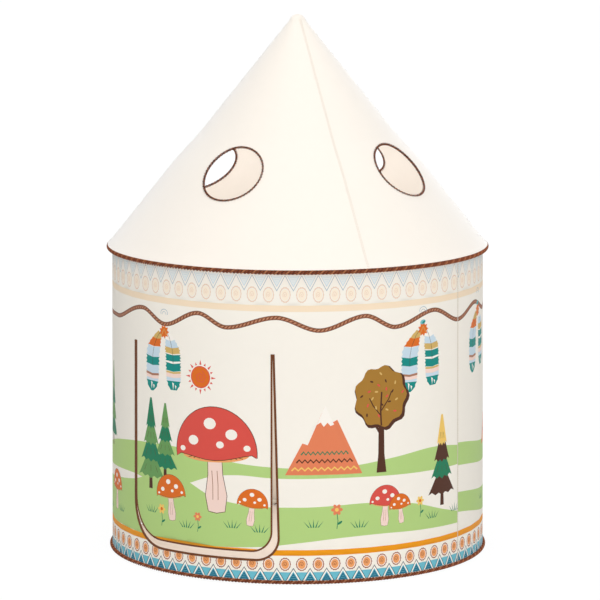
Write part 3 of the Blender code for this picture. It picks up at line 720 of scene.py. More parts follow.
# Motifs in the order in which they are printed: (name, bearing in degrees, height, turn, size)
FRONT_MOTIFS = (
    ("dark_fir", -10.5, 0.262, 0.0, 0.78), ("light_fir", -17.0, 0.225, 0.0, 0.95),
    ("red_cap", 8.5, 0.190, 0.04, 1.42), ("orange_cap", -7.5, 0.150, 0.10, 0.62),
    ("orange_cap", 19.0, 0.158, -0.12, 0.50), ("sun", 3.0, 0.552, 0.0, 0.72),
    ("grass", -16.5, 0.160), ("grass", -2.0, 0.135), ("grass", 13.5, 0.148), ("grass", 22.0, 0.140),
    ("yellow_flower", -12.0, 0.128, 0.0, 0.9), ("coral_flower", 2.0, 0.128, 0.0, 0.8),
    ("brown_tree", 59.0, 0.296, 0.0, 1.02), ("coral_peak", 41.5, 0.298, 0.0, 1.02),
    ("banded_fir", 82.5, 0.180, 0.0, 0.95), ("red_cap", 60.0, 0.150, -0.06, 0.55),
    ("orange_cap", 66.0, 0.152, 0.10, 0.40), ("coral_flower", 45.0, 0.150),
    ("yellow_flower", 73.0, 0.160, 0.0, 0.85), ("grass", 38.0, 0.155), ("grass", 52.0, 0.150),
    ("grass", 78.0, 0.150), ("grass", 89.0, 0.155), ("green_tree", -68.0, 0.285, 0.0, 0.95),
    ("dark_fir", -47.0, 0.300, 0.0, 0.90), ("orange_cap", -41.0, 0.130, 0.0, 0.55),
    ("coral_flower", -58.0, 0.125), ("grass", -84.0, 0.13), ("grass", -50.0, 0.12), ("grass", -36.0, 0.13),
)
BACK_MOTIFS = (
    ("coral_peak", 125.0, 0.300), ("peach_peak", 138.0, 0.318, 0.0, 0.7),
    ("brown_tree", 160.0, 0.335, 0.0, 0.9), ("red_cap", 186.0, 0.170, 0.05, 0.9),
    ("orange_cap", 197.0, 0.160, -0.08, 0.5), ("dark_fir", 205.0, 0.300, 0.0, 0.9),
    ("light_fir", 212.0, 0.290, 0.0, 1.1), ("sun", 232.0, 0.500), ("green_tree", 246.0, 0.300, 0.0, 0.9),
    ("yellow_flower", 150.0, 0.140), ("coral_flower", 225.0, 0.150), ("grass", 112.0, 0.150),
    ("grass", 132.0, 0.150), ("grass", 171.0, 0.150), ("grass", 208.0, 0.150), ("grass", 240.0, 0.150),
    ("grass", 258.0, 0.150),
)


def motifs(table):
    """The motifs of a table, each drawn once and put in its places."""
    drawn = {
        "dark_fir": pine(("pine", "leaf", "pine", "leaf")),
        "light_fir": pine(("leaf", "pine", "leaf", "pine")),
        "banded_fir": pine(("umber", "pine", "umber", "sun")),
        "red_cap": mushroom("red", "peach", "cream"),
        "orange_cap": mushroom("orange", "gold", "paper"),
        "brown_tree": crown_tree("ochre", "umber"),
        "green_tree": crown_tree("leaf", "pine"),
        "coral_peak": mountain("coral", "paper", ("sun", "umber", "pine")),
        "peach_peak": mountain("peach", "paper", ("red", "umber", "sun")),
        "coral_flower": flower("coral", "sun"),
        "yellow_flower": flower("sun", "orange"),
        "sun": sun_motif("orange", "red"),
        "grass": tuft(),
    }
    return [ring for name, bearing, *rest in table for ring in moved(drawn[name], at(bearing), *rest)]


def between(upper, lower):
    """The outline between two lines given by knots of (bearing in degrees, height)."""
    top = smooth_line([(at(b), z) for b, z in upper], 0.012)
    foot = smooth_line([(at(b), z) for b, z in lower], 0.012)
    return np.concatenate([top, foot[::-1]]).tolist()


def lens(first, last, low, high, thick):
    """A thin pale lens between two places, as (bearing, height) of its ends and its thickness."""
    share = np.linspace(0.0, 1.0, 18)
    s = at(first) + (at(last) - at(first)) * share
    z = low + (high - low) * share
    swell = thick / 2 * np.sqrt(np.maximum(0.0, 1.0 - share**3)) * np.minimum(1.0, 6.0 * share) ** 0.5
    return np.concatenate([np.stack((s, z + swell), axis=1), np.stack((s, z - swell), axis=1)[::-1]]).tolist()


def common_prints(first, last):
    """Borders and stripes that run right round, between two distances along the wall."""
    low, high = first - 0.03, last + 0.03
    pale = ("pale_line", "cream", "pale_blue", "mist", "pale_ring", "pale_peach")
    vivid = ("navy", "paper", "cyan", "teal", "ring", "peach")
    rings = [level_band("cyan", low, high, *CYAN_BAND)]
    rings += border(low, high, *LOWER_BORDER, vivid)
    rings.append(level_band("stripe", low, high, *STRIPE))
    rings += border(low, high, *UPPER_BORDER, pale)
    rings.append(level_band("pale_stripe", low, high, *PALE_STRIPE))
    return rings


def front_prints():
    """The front's landscape, borders and motifs, which the door flap carries on."""
    rings = [("green", between(HILL_TOP, HILL_FOOT)), ("cream", between(GAP_TOP, GAP_FOOT))]
    rings.append(("cream", lens(-88, -21.5, 0.196, 0.250, 0.036)))
    rings += common_prints(-SEAM_S, SEAM_S)
    rings += rope_line(-SEAM_S - 0.02, SEAM_S + 0.02)
    for bearing, top, bead in ((-72.7, 0.660, True), (-10.9, 0.667, False), (74.2, 0.677, True)):
        rings += feather_pair(at(bearing), top, bead)
    return rings + motifs(FRONT_MOTIFS)


def back_prints():
    """The back's landscape, which runs on from both seams."""
    rings = [("green", between(BACK_TOP, BACK_FOOT)), ("cream", between(BACK_GAP_TOP, BACK_GAP_FOOT))]
    rings += common_prints(SEAM_S, ROUND - SEAM_S)
    rings += rope_line(SEAM_S - 0.02, ROUND - SEAM_S + 0.02)
    for bearing in (107.0, 144.0, 180.0, 216.0, 252.0):
        rings += feather_pair(at(bearing), rope_at(at(bearing)) - 0.016)
    return rings + motifs(BACK_MOTIFS)


def add_node(tree, kind, inputs=(), **settings):
    """A shader node whose inputs are linked to sockets or set to values."""
    made = tree.nodes.new(kind)
    for key, value in settings.items():
        setattr(made, key, value)
    for name, source in dict(inputs).items():
        if hasattr(source, "node"):
            tree.links.new(source, made.inputs[name])
        else:
            made.inputs[name].default_value = source
    return made


class Shader:
    """A procedural material under construction, with one Principled shader."""

    def __init__(self, name, roughness, sheen=0.0, specular=0.3, metallic=0.0):
        self.mat = bpy.data.materials.new(name)
        self.mat.use_nodes = True
        self.tree = self.mat.node_tree
        self.out = self.tree.nodes["Principled BSDF"]
        values = {"Roughness": roughness, "Sheen Weight": sheen, "Specular IOR Level": specular,
                  "Metallic": metallic}
        for socket, value in values.items():
            self.out.inputs[socket].default_value = value

    def cloth_place(self):
        return add_node(self.tree, "ShaderNodeUVMap", uv_map="Weave").outputs[0]

    def sum(self, operation, first, second=0.5):
        return add_node(self.tree, "ShaderNodeMath", {0: first, 1: second}, operation=operation).outputs[0]

    def noise(self, place, scale, detail, **more):
        inputs = {"Vector": place, "Scale": scale, "Detail": detail, **more}
        return add_node(self.tree, "ShaderNodeTexNoise", inputs).outputs["Fac"]

    def wave(self, place, scale, way, **more):
        inputs = {"Vector": place, "Scale": scale, **more}
        return add_node(self.tree, "ShaderNodeTexWave", inputs, bands_direction=way).outputs["Fac"]

    def mix(self, share, first, second):
        inputs = {0: share, 6: first, 7: second}
        return add_node(self.tree, "ShaderNodeMix", inputs, data_type="RGBA").outputs[2]

    def finish(self, colour, height, strength):
        self.tree.links.new(colour, self.out.inputs["Base Color"])
        inputs = {"Height": height, "Strength": strength, "Distance": 1.0}
        bump = add_node(self.tree, "ShaderNodeBump", inputs)
        self.tree.links.new(bump.outputs[0], self.out.inputs["Normal"])
        return self.mat


def shade_of(colour, share):
    return (*[c * share for c in colour], 1.0)


def woven(name, colour, contrast=0.05, thread=0.0016, sheen=0.12):
    """Plain woven cloth: crossing threads, faint mottling and soft creases."""
    rgb = linear(colour)
    s = Shader(name, 0.88, sheen=sheen, specular=0.2)
    place = s.cloth_place()
    threads = s.sum("MULTIPLY", *[s.wave(place, 0.314 / thread, way) for way in "XY"])
    mottle = s.noise(place, 34.0, 4.0, Roughness=0.6)
    folds = s.noise(place, 7.5, 2.0, Distortion=0.8)
    tone = s.mix(mottle, shade_of(rgb, 1.0 + contrast / 2), shade_of(rgb, 1.0 - contrast / 2))
    tone = s.mix(0.5, tone, s.mix(threads, shade_of(rgb, 1.0 - contrast), shade_of(rgb, 1.0)))
    fine, broad = s.sum("MULTIPLY", threads, THREAD_RELIEF), s.sum("MULTIPLY", folds, CREASE_RELIEF)
    return s.finish(tone, s.sum("ADD", fine, broad), 0.5)


def spun(name, colour, dark, scale, sheen=0.05, roughness=0.85, laid=True):
    """Twisted yarn: slanting fibres in two tones, with painted shade darkening the sides of a laid cord's
    strands that face each other, between the strands.
    """
    colour, dark = linear(colour), linear(dark)
    s = Shader(name, roughness, sheen=sheen, specular=0.25)
    place = s.cloth_place()
    fibres = s.wave(place, scale, "DIAGONAL", Distortion=1.5, Detail=2.0)
    patch = s.sum("MULTIPLY", s.noise(place, 60.0, 3.0), 0.35)
    tone = s.mix(patch, s.mix(fibres, shade_of(dark, 1.0), shade_of(colour, 1.0)), shade_of(dark, 0.9))
    # Painted shade: the faces of each strand that turn in towards the other strands are darkened in colour.
    if laid:
        part = add_node(s.tree, "ShaderNodeSeparateXYZ", {"Vector": place}).outputs["Y"]
        out = s.sum("COSINE", s.sum("MULTIPLY", part, 2.0 * math.pi / STRAND_TURN))
        reach = {"Value": out, "From Min": 0.75, "From Max": 0.05}
        groove_shade = add_node(s.tree, "ShaderNodeMapRange", reach).outputs[0]
        tone = s.mix(groove_shade, tone, shade_of(dark, 0.80))
    return s.finish(tone, s.sum("MULTIPLY", fibres, 0.0002), 0.6)


def moulded(name, colour, roughness, grain=0.00006, metallic=0.0):
    """Plastic, glass fibre or metal with a fine grain and slight wear in its tone."""
    rgb = linear(colour)
    s = Shader(name, roughness, specular=0.4, metallic=metallic)
    place = add_node(s.tree, "ShaderNodeTexCoord").outputs["Object"]
    tone = s.mix(s.noise(place, 26.0, 4.0), shade_of(rgb, 1.05), shade_of(rgb, 0.90))
    return s.finish(tone, s.sum("MULTIPLY", s.noise(place, 900.0, 2.0), grain), 0.5)


def mesh_with_places(name, verts, faces, places, mats, index=None, sharp=None):
    """A smooth mesh with a flat place in metres for each face corner, sharp past an angle if given."""
    mesh = bpy.data.meshes.new(name)
    mesh.from_pydata(np.asarray(verts).tolist(), [], faces)
    layer = mesh.uv_layers.new(name="Weave")
    layer.data.foreach_set("uv", np.asarray(places, dtype=np.float32).ravel())
    for mat in mats:
        mesh.materials.append(mat)
    if index is not None:
        mesh.polygons.foreach_set("material_index", index)
    mesh.shade_smooth()
    mesh.update()
    if sharp is not None:
        mesh.set_sharp_from_angle(angle=sharp)
    return add(name, mesh)


def twisted(name, centres, across, up, radius, mats, pitch, sides=7, per_turn=10):
    """A laid cord that closes on itself, round a ring of points with its two side directions.

    It has a strand for each of the materials in mats.
    """
    loop = np.concatenate([centres, centres[:1]])
    length = np.linalg.norm(np.diff(loop, axis=0), axis=1).sum()
    turns = max(1, round(length / pitch))
    count = turns * per_turn
    share = np.arange(count) / count * len(centres)
    i = share.astype(int)
    f = (share - i)[:, None]
    j = (i + 1) % len(centres)
    middle = centres[i] * (1 - f) + centres[j] * f
    a = across[i] * (1 - f) + across[j] * f
    b = up[i] * (1 - f) + up[j] * f
    strands = len(mats)
    off, thick = radius * 0.52, radius * 0.48
    verts, quads, places = [], [], []
    for k in range(strands):
        turn = 2.0 * math.pi * (np.arange(count) / per_turn + k / strands)
        core = middle + off * (np.cos(turn)[:, None] * a + np.sin(turn)[:, None] * b)
        start = len(verts) * count * sides
        rings = []
        for n in range(sides):
            t = (turn + 2.0 * math.pi * n / sides)[:, None]
            rings.append(core + thick * (np.cos(t) * a + np.sin(t) * b))
        verts.append(np.stack(rings, axis=1).reshape(-1, 3))
        row = np.arange(count)[:, None] * sides
        after = (np.arange(count)[:, None] + 1) % count * sides
        col = np.arange(sides)[None, :]
        nxt = (col + 1) % sides
        cell = np.stack((row + col, row + nxt, after + nxt, after + col), axis=2)
        quads += (cell.reshape(-1, 4) + start).tolist()
        u0 = np.broadcast_to(np.arange(count)[:, None] * length / count, (count, sides))
        v0 = np.broadcast_to(col * STRAND_TURN / sides, (count, sides))
        u1, v1 = u0 + length / count, v0 + STRAND_TURN / sides
        corners = [np.stack(pair, 2) for pair in ((u0, v0), (u0, v1), (u1, v1), (u1, v0))]
        places.append(np.stack(corners, 2).reshape(-1, 2))
    index = np.repeat(np.arange(strands), count * sides)
    return mesh_with_places(name, np.concatenate(verts), quads, np.concatenate(places), mats, index)


def tape(name, path, width, thick, depth, mat, place=wall_place):
    """A folded tape laid along a flat line on a cloth, which it covers on both faces."""
    p = np.asarray(path, dtype=float)
    way = unit(np.gradient(p, axis=0))
    side = np.stack((-way[:, 1], way[:, 0]), axis=1)
    w, t = width / 2, thick / 2
    outline = [(-w, -t * 0.4), (-w * 0.9, -t), (0.0, -t * 1.1), (w * 0.9, -t), (w, -t * 0.4),
               (w, t * 0.4), (w * 0.9, t), (0.0, t * 1.1), (-w * 0.9, t), (-w, t * 0.4)]
    size, run = len(outline), run_along(p)
    faces, places = [], []
    for i in range(len(p) - 1):
        for k in range(size):
            n = (k + 1) % size
            faces.append((i * size + k, i * size + n, (i + 1) * size + n, (i + 1) * size + k))
            va, vb = (outline[j][0] + 0.3 * outline[j][1] for j in (k, n))
            places += [(run[i], va), (run[i], vb), (run[i + 1], vb), (run[i + 1], va)]
    last = (len(p) - 1) * size
    faces += [tuple(range(size))[::-1], tuple(range(last, last + size))]
    places += outline[::-1] + [(a + run[-1], b) for a, b in outline]
    rings = [place(*(p + side * a).T, depth - b) for a, b in outline]
    verts = np.stack(rings, axis=1).reshape(-1, 3)
    return mesh_with_places(name, verts, faces, places, [mat], sharp=math.radians(60.0))


def stitches(name, rows, mat):
    """Rows of thread stitches; each row is (flat line, place function, depth)."""
    verts, faces = [], []
    for line, place, depth in rows:
        p = np.asarray(line, dtype=float)
        run = run_along(p)
        for begin in np.arange(STITCH_STEP / 2, run[-1] - STITCH, STITCH_STEP):
            ts = (begin, begin + STITCH / 2, begin + STITCH)
            flat = [np.interp(ts, run, p[:, k]) for k in (0, 1)]
            low = place(*flat, depth)
            up = unit(place(*flat, depth - 0.001) - low)
            across = np.cross(up, unit(low[2:] - low[:1]))
            start = len(verts)
            for k, rise in enumerate((-THREAD, THREAD_LIFT + THREAD, -THREAD)):
                centre = low[k] + up[k] * rise
                for x, y in ((-1.0, 0.0), (0.0, 1.0), (1.0, 0.0), (0.0, -1.0)):
                    verts.append(centre + (across[k] * x + up[k] * y) * THREAD)
            for k in (start, start + 4):
                faces += [(k + i, k + (i + 1) % 4, k + 4 + (i + 1) % 4, k + 4 + i) for i in range(4)]
            faces += [(start + 3, start + 2, start + 1, start), tuple(range(start + 8, start + 12))]
    spots = np.array(verts)[np.ravel(faces)][:, [0, 2]]
    return mesh_with_places(name, verts, faces, spots, [mat])


def u_path(inset, corners, spread=0.0, rise=0.0, out=0.0, step=0.008):
    """The door's U at an inset from the cut, from the top of its left side to the right."""
    left, right = inset - DOOR_LEFT, DOOR_RIGHT - inset + out
    foot = DOOR_BOTTOM + inset + rise
    first, last = (corner - inset for corner in corners)
    right_foot = right + spread * (DOOR_TOP - foot - last) / (DOOR_TOP - foot)
    turns = np.linspace(0.0, math.pi / 2, 14)
    points = [(left, z) for z in np.arange(DOOR_TOP, foot + first, -step)]
    points += [(left + first * (1 - math.cos(t)), foot + first * (1 - math.sin(t))) for t in turns]
    points += [(x, foot) for x in np.arange(left + first + step, right_foot - last - step / 2, step)]
    points += [(right_foot - last * (1 - math.sin(t)), foot + last * (1 - math.cos(t))) for t in turns]
    heights = np.arange(DOOR_TOP, foot + last, -step)[::-1][1:]
    return points + [(right + spread * (DOOR_TOP - z) / (DOOR_TOP - foot), z) for z in heights]


def grid(first, last, low, high, step):
    s = np.linspace(first, last, max(2, round((last - first) / step) + 1))
    z = np.linspace(low, high, max(2, round((high - low) / step) + 1))
    return np.stack(np.meshgrid(s, z), axis=2).reshape(-1, 2)


def frame_of(first, last, low, high, step):
    """A rectangle's outline with a point at every step, so that it bends with the cloth."""
    s = np.linspace(first, last, max(2, round((last - first) / step) + 1))
    z = np.linspace(low, high, max(2, round((high - low) / step) + 1))
    ring = [(a, low) for a in s[:-1]] + [(last, b) for b in z[:-1]]
    return ring + [(a, high) for a in s[:0:-1]] + [(first, b) for b in z[:0:-1]]


def with_head(edge):
    """The door's U closed along the head of the doorway."""
    head = np.linspace(edge[-1][0], edge[0][0], 42)[1:-1]
    return edge + [(s, DOOR_TOP) for s in head]


def build_wall(inks):
    """The printed wall in two pieces, with the doorway cut from the front."""
    hole = with_head(u_path(0.0005, DOOR_CORNERS, DOOR_SPREAD))
    walls = []
    for name, first, last, lines, holes, prints in (
        ("wall_front", -SEAM_S, SEAM_S, 21, [hole], front_prints()),
        ("wall_back", SEAM_S, ROUND - SEAM_S, 20, [], back_prints()),
    ):
        sides = (first, last, WALL_FOOT, WALL_TOP, LATTICE)
        flat = (frame_of(*sides), wall_place, grid(*sides))
        walls.append(cloth_piece(name, *flat, inks, holes, prints, np.linspace(first, last, lines)))
    return walls


def build_flap(inks):
    """The flap, whose print carries the wall's on, hung from the head of the doorway."""
    outline = with_head(u_path(FLAP_INSET, FLAP_CORNERS, rise=FLAP_RISE, out=FLAP_OUT))
    lattice = grid(-DOOR_LEFT, DOOR_RIGHT, DOOR_BOTTOM, DOOR_TOP - 0.004, LATTICE * 0.8)
    return cloth_piece("door_flap_cloth", outline, wall_place, lattice, inks, [], front_prints())


def build_ground(inks):
    """The ground sheet, a round cloth laid on the floor with faint waves."""

    def place(x, y, depth):
        wave = GROUND_WAVE * np.sin(9.0 * x + 2.0) * np.cos(7.0 * y - 0.5)
        return np.stack((x, y, GROUND_LIFT + wave - depth), axis=1)

    lattice = grid(-GROUND_RADIUS, GROUND_RADIUS, -GROUND_RADIUS, GROUND_RADIUS, 0.030)
    rim = oval(0.0, 0.0, GROUND_RADIUS, GROUND_RADIUS, 110)
    lattice = lattice[np.hypot(*lattice.T) < GROUND_RADIUS - 0.004]
    return cloth_piece("ground_cloth", rim, place, lattice, inks)


def build_ties(inks):
    """The two ribbons inside the head of the doorway, which hold the rolled-up flap."""
    ties = []
    for name, side in (("left", -1.0), ("right", 1.0)):

        def place(x, z, depth, side=side):
            fall = (TIE_TOP - z) / TIE_LENGTH
            depth = depth + CLOTH + TIE_GAP + TIE_FALL * fall**3
            p = wall_place(side * WALL_RADIUS * TIE_BEARING + x, z, depth)
            return p + np.stack((side * 0.006 * np.sin(2.5 * fall), 0.0 * z, 0.0 * z), axis=1)

        low, half = TIE_TOP - TIE_LENGTH, TIE_WIDTH / 2
        outline = frame_of(-half, half, low, TIE_TOP, 0.007)
        lattice = grid(-half, half, low, TIE_TOP, 0.006)
        ties.append(cloth_piece(f"tie_ribbon_{name}", outline, place, lattice, inks))
    return ties


def window_line(index, radius, steps):
    """A circle round a window on the roof's outer face, with its directions outwards and up."""
    bearing, share = math.radians(WINDOWS[index][0]), WINDOWS[index][1]
    away = EAVE_RADIUS * share
    centre = np.array([away * math.sin(bearing), -away * math.cos(bearing),
                       EAVE_HEIGHT + (EAVE_RADIUS - away) * math.tan(ROOF_ANGLE)])
    across = np.array([math.cos(bearing), math.sin(bearing), 0.0])
    out = np.array([math.sin(bearing) * math.sin(ROOF_ANGLE), -math.cos(bearing) * math.sin(ROOF_ANGLE),
                    math.cos(ROOF_ANGLE)])
    turn = np.linspace(0.0, 2.0 * math.pi, steps, endpoint=False)[:, None]
    outwards = np.cos(turn) * across + np.sin(turn) * np.cross(out, across)
    return on_roof(centre + radius * outwards, out), outwards, np.broadcast_to(out, outwards.shape)


def down_roof(points):
    """Distances of points from the roof's tip down its slope, and off the straight cone."""
    radius, drop = np.hypot(points[:, 0], points[:, 1]), APEX - points[:, 2]
    away = radius * math.cos(ROOF_ANGLE) + drop * math.sin(ROOF_ANGLE)
    return away, radius * math.sin(ROOF_ANGLE) - drop * math.cos(ROOF_ANGLE)


def on_roof(points, out):
    """Points moved along a direction until they lie on the roof's outer face."""
    for _ in range(8):
        away, off = down_roof(points)
        points = points + out * (belly(away) - off)[:, None]
    return points


def build_roof(inks):
    """Two half cones with round windows, each a flat sector bent to the cone."""
    pieces, quarter = [], math.pi / 2
    for name, start in (("roof_right", ROOF_SEAM - math.pi), ("roof_left", ROOF_SEAM)):
        middle = start + quarter
        points = []
        for away in np.linspace(0.006, HEM, 74)[:-1]:
            count = max(6, round(away * math.pi * math.cos(ROOF_ANGLE) / LATTICE))
            points += [roof_flat(b, away) for b in np.linspace(-quarter, quarter, count + 1)[1:-1]]
        sides = np.linspace(0.003, HEM, 80)
        outline = [roof_flat(b, HEM) for b in np.linspace(-quarter, quarter, 150)]
        outline += [roof_flat(quarter, a) for a in sides[-2::-1]]
        outline += [roof_flat(-quarter, a) for a in sides[:-1]]
        holes = []
        for i in range(len(WINDOWS)):
            ring = window_line(i, WINDOW_RADIUS - 0.001, 72)[0]
            bearing = np.arctan2(ring[:, 0], -ring[:, 1])
            turned = (bearing - middle + math.pi) % (2.0 * math.pi) - math.pi
            if np.abs(turned).max() < quarter:
                holes.append([roof_flat(b, a) for b, a in zip(turned, down_roof(ring)[0])])
        pieces.append(cloth_piece(name, outline, roof_at(middle), np.array(points), inks, holes))
    return pieces


def build_rims(mats):
    """The twisted cords sewn round the windows."""
    rims = []
    for i in range(len(WINDOWS)):
        line, outwards, up = window_line(i, WINDOW_RADIUS - RIM_INSET, 120)
        line = line - up * (CLOTH / 2)
        rims.append(twisted(f"window_cord_{i + 1}", line, outwards, up, RIM_CORD / 2, mats, RIM_PITCH))
    return rims


def build_piping(mats):
    """The thick twisted cords round the eave and the foot."""
    cords = []
    for name, (radius, height), thick, pitch in (
        ("eave_rope", EAVE_RING, EAVE_PIPING * EAVE_CORD_SHARE, EAVE_PITCH),
        ("base_rope", BASE_RING, BASE_PIPING * BASE_CORD_SHARE, BASE_PITCH),
    ):
        bearing = np.linspace(0.0, 2.0 * math.pi, 360, endpoint=False)
        outwards = np.stack((np.sin(bearing), -np.cos(bearing), 0.0 * bearing), axis=1)
        line = outwards * radius + [0.0, 0.0, height]
        up = np.broadcast_to([0.0, 0.0, 1.0], outwards.shape)
        cords.append(twisted(name, line, outwards, up, thick, mats, pitch))
    return cords


def seam_lines():
    """The wall's and the roof's seams, as (flat line, place function) pairs."""
    heights = np.linspace(WALL_FOOT + 0.001, 0.836, 90)
    wall = [([(side * SEAM_S, z) for z in heights], wall_place) for side in (-1.0, 1.0)]
    slope = [(0.0, -a) for a in np.linspace(0.030, SLANT - 0.013, 90)]
    return wall, [(slope, roof_at(bearing)) for bearing in (ROOF_SEAM, ROOF_SEAM + math.pi)]


def build_trim(inks, brown, thread):
    """Bound edges, seam strips and stitches."""
    edge = u_path(TAPE_INSET, DOOR_CORNERS, DOOR_SPREAD)
    doorway = tape("doorway_tape", edge, TAPE_WIDTH, TAPE_THICK, CLOTH / 2, brown)
    edge = u_path(FLAP_INSET + 0.0004, FLAP_CORNERS, rise=FLAP_RISE, out=FLAP_OUT)
    flap = tape("flap_tape", edge, FLAP_TAPE, TAPE_THICK, CLOTH / 2, brown)
    wall, roof = seam_lines()
    strips, sewn = [], []
    for kind, lines, ink in (("wall", wall, "wall_seam"), ("roof", roof, "seam")):
        rows = []
        for i, (line, place) in enumerate(lines):
            strips.append(tape(f"{kind}_seam_{i + 1}", line, *SEAM_STRIP, SEAM_DEPTH, inks[ink], place))
            for off in (-SEAM_ROW, SEAM_ROW):
                rows.append(([(x + off, y) for x, y in line], place, -SEAM_ROW_LIFT))
        sewn.append(stitches(f"{kind}_stitches", rows, thread))
    edge = u_path(TAPE_INSET - DOOR_ROW, DOOR_CORNERS, DOOR_SPREAD)
    sewn.append(stitches("doorway_stitches", [(edge, wall_place, -DOOR_ROW_LIFT)], brown))
    return doorway, flap, strips, sewn


def finish_frame(nodes):
    """Glass fibre, steel and plastic for the frame, whose pieces keep the CAD's shapes."""
    mats = {
        "hoop_rod": moulded("glass_fibre", (226, 224, 214), 0.42),
        "ferrule": moulded("ferrule_steel", (186, 186, 184), 0.32, metallic=1.0),
        "connector": moulded("fitting_plastic", (222, 219, 210), 0.5, 0.00012),
        "upright": moulded("pole_plastic", (236, 234, 228), 0.38),
    }
    mats["peak_hub"], mats["rafter"] = mats["connector"], mats["upright"]
    for name in nodes:
        mat = next((mats[word] for word in mats if word in name), None)
        if mat is not None:
            nodes[name].data.materials.clear()
            nodes[name].data.materials.append(mat)


def camera():
    """The photograph's camera."""
    data = bpy.data.cameras.new("camera")
    data.sensor_width = 36.0
    data.lens = data.sensor_width * PHOTO_FOCAL / PHOTO_WIDTH
    data.clip_end = 60.0
    obj = add("camera", data)
    back = Vector((math.sin(CAMERA_BEARING), -math.cos(CAMERA_BEARING), 0.0))
    aside = Vector((math.cos(CAMERA_BEARING), math.sin(CAMERA_BEARING), 0.0)) * CAMERA_ASIDE
    obj.location = back * CAMERA_DISTANCE + Vector((0.0, 0.0, CAMERA_HEIGHT))
    target = Vector((0.0, 0.0, CAMERA_HEIGHT - CAMERA_DISTANCE * math.tan(CAMERA_PITCH))) + aside
    obj.rotation_euler = (target - obj.location).to_track_quat("-Z", "Y").to_euler()
    bpy.context.scene.camera = obj


def lamp(name, kind, energy, size, place, target=(0.0, 0.0, 0.0)):
    data = bpy.data.lights.new(name, kind)
    data.energy = energy
    if kind == "SUN":
        data.angle = size
    else:
        data.shadow_soft_size = size
    obj = add(name, data)
    obj.location = place
    obj.rotation_euler = (Vector(target) - Vector(place)).to_track_quat("-Z", "Y").to_euler()
    return obj


def seen_directly(tree):
    """1 for the rays that look at the backdrop: from the camera, a mirror or through glass."""
    path = add_node(tree, "ShaderNodeLightPath")
    total = path.outputs["Is Camera Ray"]
    for ray in ("Is Glossy Ray", "Is Transmission Ray"):
        inputs = {0: total, 1: path.outputs[ray]}
        total = add_node(tree, "ShaderNodeMath", inputs, operation="MAXIMUM").outputs[0]
    return total


def mixed_out(tree, output, share, first, second):
    """Two shaders mixed by a share into a tree's output."""
    mix = add_node(tree, "ShaderNodeMixShader", {0: share, 1: first.outputs[0], 2: second.outputs[0]})
    tree.links.new(mix.outputs[0], tree.nodes[output].inputs[0])


def build_stage():
    """Pale floor that keeps a faint shadow, soft light from the front and white all round."""
    bpy.context.scene.view_settings.view_transform = "Standard"
    mesh = bpy.data.meshes.new("floor")
    corners = [(x * 30, y * 30, -0.0008) for x, y in ((-1, -1), (1, -1), (1, 1), (-1, 1))]
    mesh.from_pydata(corners, [], [(0, 1, 2, 3)])
    floor = add("floor", mesh)
    mat = bpy.data.materials.new("floor")
    mat.use_nodes = True
    tree = mat.node_tree
    shader = tree.nodes["Principled BSDF"]
    shader.inputs["Base Color"].default_value = (0.54, 0.54, 0.54, 1.0)
    shader.inputs["Roughness"].default_value = 0.9
    shader.inputs["Specular IOR Level"].default_value = 0.0
    glow = add_node(tree, "ShaderNodeEmission", {"Strength": 1.13})
    share = add_node(tree, "ShaderNodeMath", {0: seen_directly(tree), 1: 0.82}, operation="MULTIPLY")
    mixed_out(tree, "Material Output", share.outputs[0], shader, glow)
    mesh.materials.append(mat)
    world = bpy.data.worlds.new("world")
    bpy.context.scene.world = world
    world.use_nodes = True
    tree = world.node_tree
    soft = tree.nodes["Background"]
    soft.inputs["Color"].default_value = (1.0, 1.0, 1.0, 1.0)
    soft.inputs["Strength"].default_value = 0.62
    mixed_out(tree, "World Output", seen_directly(tree), soft, add_node(tree, "ShaderNodeBackground"))
    place = (6.0 * math.sin(KEY_BEARING), -6.0 * math.cos(KEY_BEARING), 1.13)
    key = lamp("key", "SUN", 1.60, 0.5, place, (0.0, 0.0, 0.6))
    top = lamp("top", "SUN", 0.90, 1.2, (0.0, 0.0, 6.0))
    inner = lamp("inner", "POINT", 2.15, 0.18, (0.0, 0.0, 0.85))
    low = lamp("low", "POINT", 1.6, 0.15, (0.0, -0.05, 0.42))


def make_cloths():
    """The inks of the wall's cloth, the roof's, the ground sheet's and the ribbons'."""
    wall = {name: woven(f"ink_{name}", colour) for name, colour in INKS.items()}
    wall["lining"] = woven("lining", (249, 241, 231), 0.06)
    wall["seam"] = woven("seam_strip", (248, 238, 228), 0.07)
    wall["wall_seam"] = woven("wall_seam_strip", (230, 219, 207), 0.10)
    roof = {"cream": woven("roof_cream", (251, 243, 232), sheen=1.0),
            "lining": woven("roof_lining", (250, 246, 241), 0.06)}
    ground = woven("ground_weave", (250, 240, 233), 0.08, 0.0022)
    ribbon = woven("ribbon_weave", (240, 230, 212), 0.10, 0.0012)
    return wall, roof, *[dict.fromkeys(("cream", "lining"), weave) for weave in (ground, ribbon)]


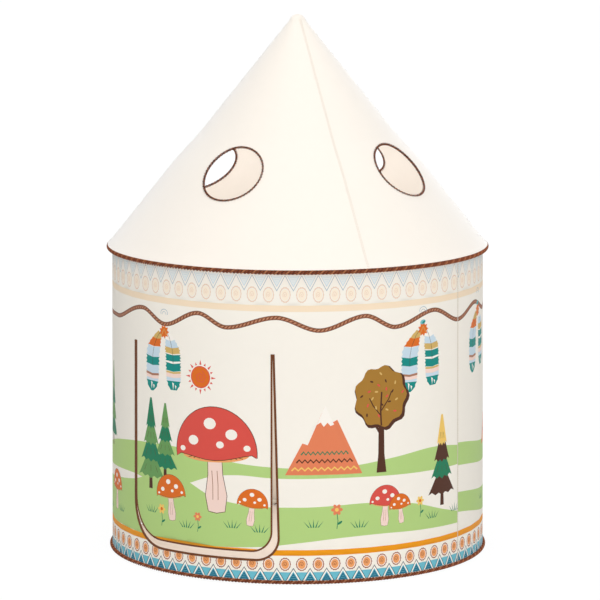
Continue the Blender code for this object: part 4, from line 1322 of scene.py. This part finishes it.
def main():
    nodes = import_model()["nodes"]
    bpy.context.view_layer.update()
    wall, roof, ground, ribbon = make_cloths()
    brown = spun("bound_tape", (136, 80, 46), (92, 52, 28), 1400.0, 0.1, laid=False)
    rope = spun("piping_cord", (168, 92, 56), (126, 62, 36), 700.0)
    pale_rope = spun("piping_cord_pale", (208, 140, 98), (168, 98, 62), 700.0)
    rim_cord = spun("window_cord", (104, 58, 42), (78, 42, 32), 900.0)
    pale_rim = spun("window_cord_pale", (190, 124, 92), (140, 84, 60), 900.0)
    thread = spun("thread", (232, 222, 204), (206, 194, 174), 3000.0, 0.2, 0.8, laid=False)
    front, back = build_wall(wall)
    flap = build_flap(wall)
    roofs = build_roof(roof)
    rims = build_rims((rim_cord, pale_rim))
    eave, base = build_piping((rope, rope, pale_rope))
    floor_cloth = build_ground(ground)
    ties = build_ties(ribbon)
    doorway, flap_tape, strips, (wall_sewn, roof_sewn, door_sewn) = build_trim(wall, brown, thread)
    wall_sewn, roof_sewn = [*strips[:2], wall_sewn], [*strips[2:], roof_sewn]

    pieces = [
        (front, "wall_cloth", "wall_front_panel"), (back, "wall_cloth", "wall_back_panel"),
        (flap, "wall_cloth", "door_flap"), (roofs[0], "roof_cloth", "roof_right_panel"),
        (roofs[1], "roof_cloth", "roof_left_panel"), (eave, "rope_piping", "eave_piping"),
        (base, "rope_piping", "base_piping"), (doorway, "edge_binding", "doorway_binding"),
        (flap_tape, "edge_binding", "flap_binding"), (floor_cloth, "ground_cloth", "ground_sheet"),
        (ties[0], "tie_ribbon", "door_tie_left"), (ties[1], "tie_ribbon", "door_tie_right"),
        (door_sewn, "edge_binding"),
    ]
    pieces += [(rim, "window_cord", f"window_rim_{i + 1}") for i, rim in enumerate(rims)]
    pieces += [(obj, "wall_cloth") for obj in wall_sewn] + [(obj, "roof_cloth") for obj in roof_sewn]
    for obj, slot, *node in pieces:
        if node:
            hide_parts(*node)
        if obj in (flap, flap_tape):
            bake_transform(obj)
        else:
            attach(obj, "root")

    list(wall_sewn)
    for obj, sewn in zip(roofs, (roof_sewn, [])):
        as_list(sewn)
    finish_frame(nodes)
    build_stage()
    camera()


main()
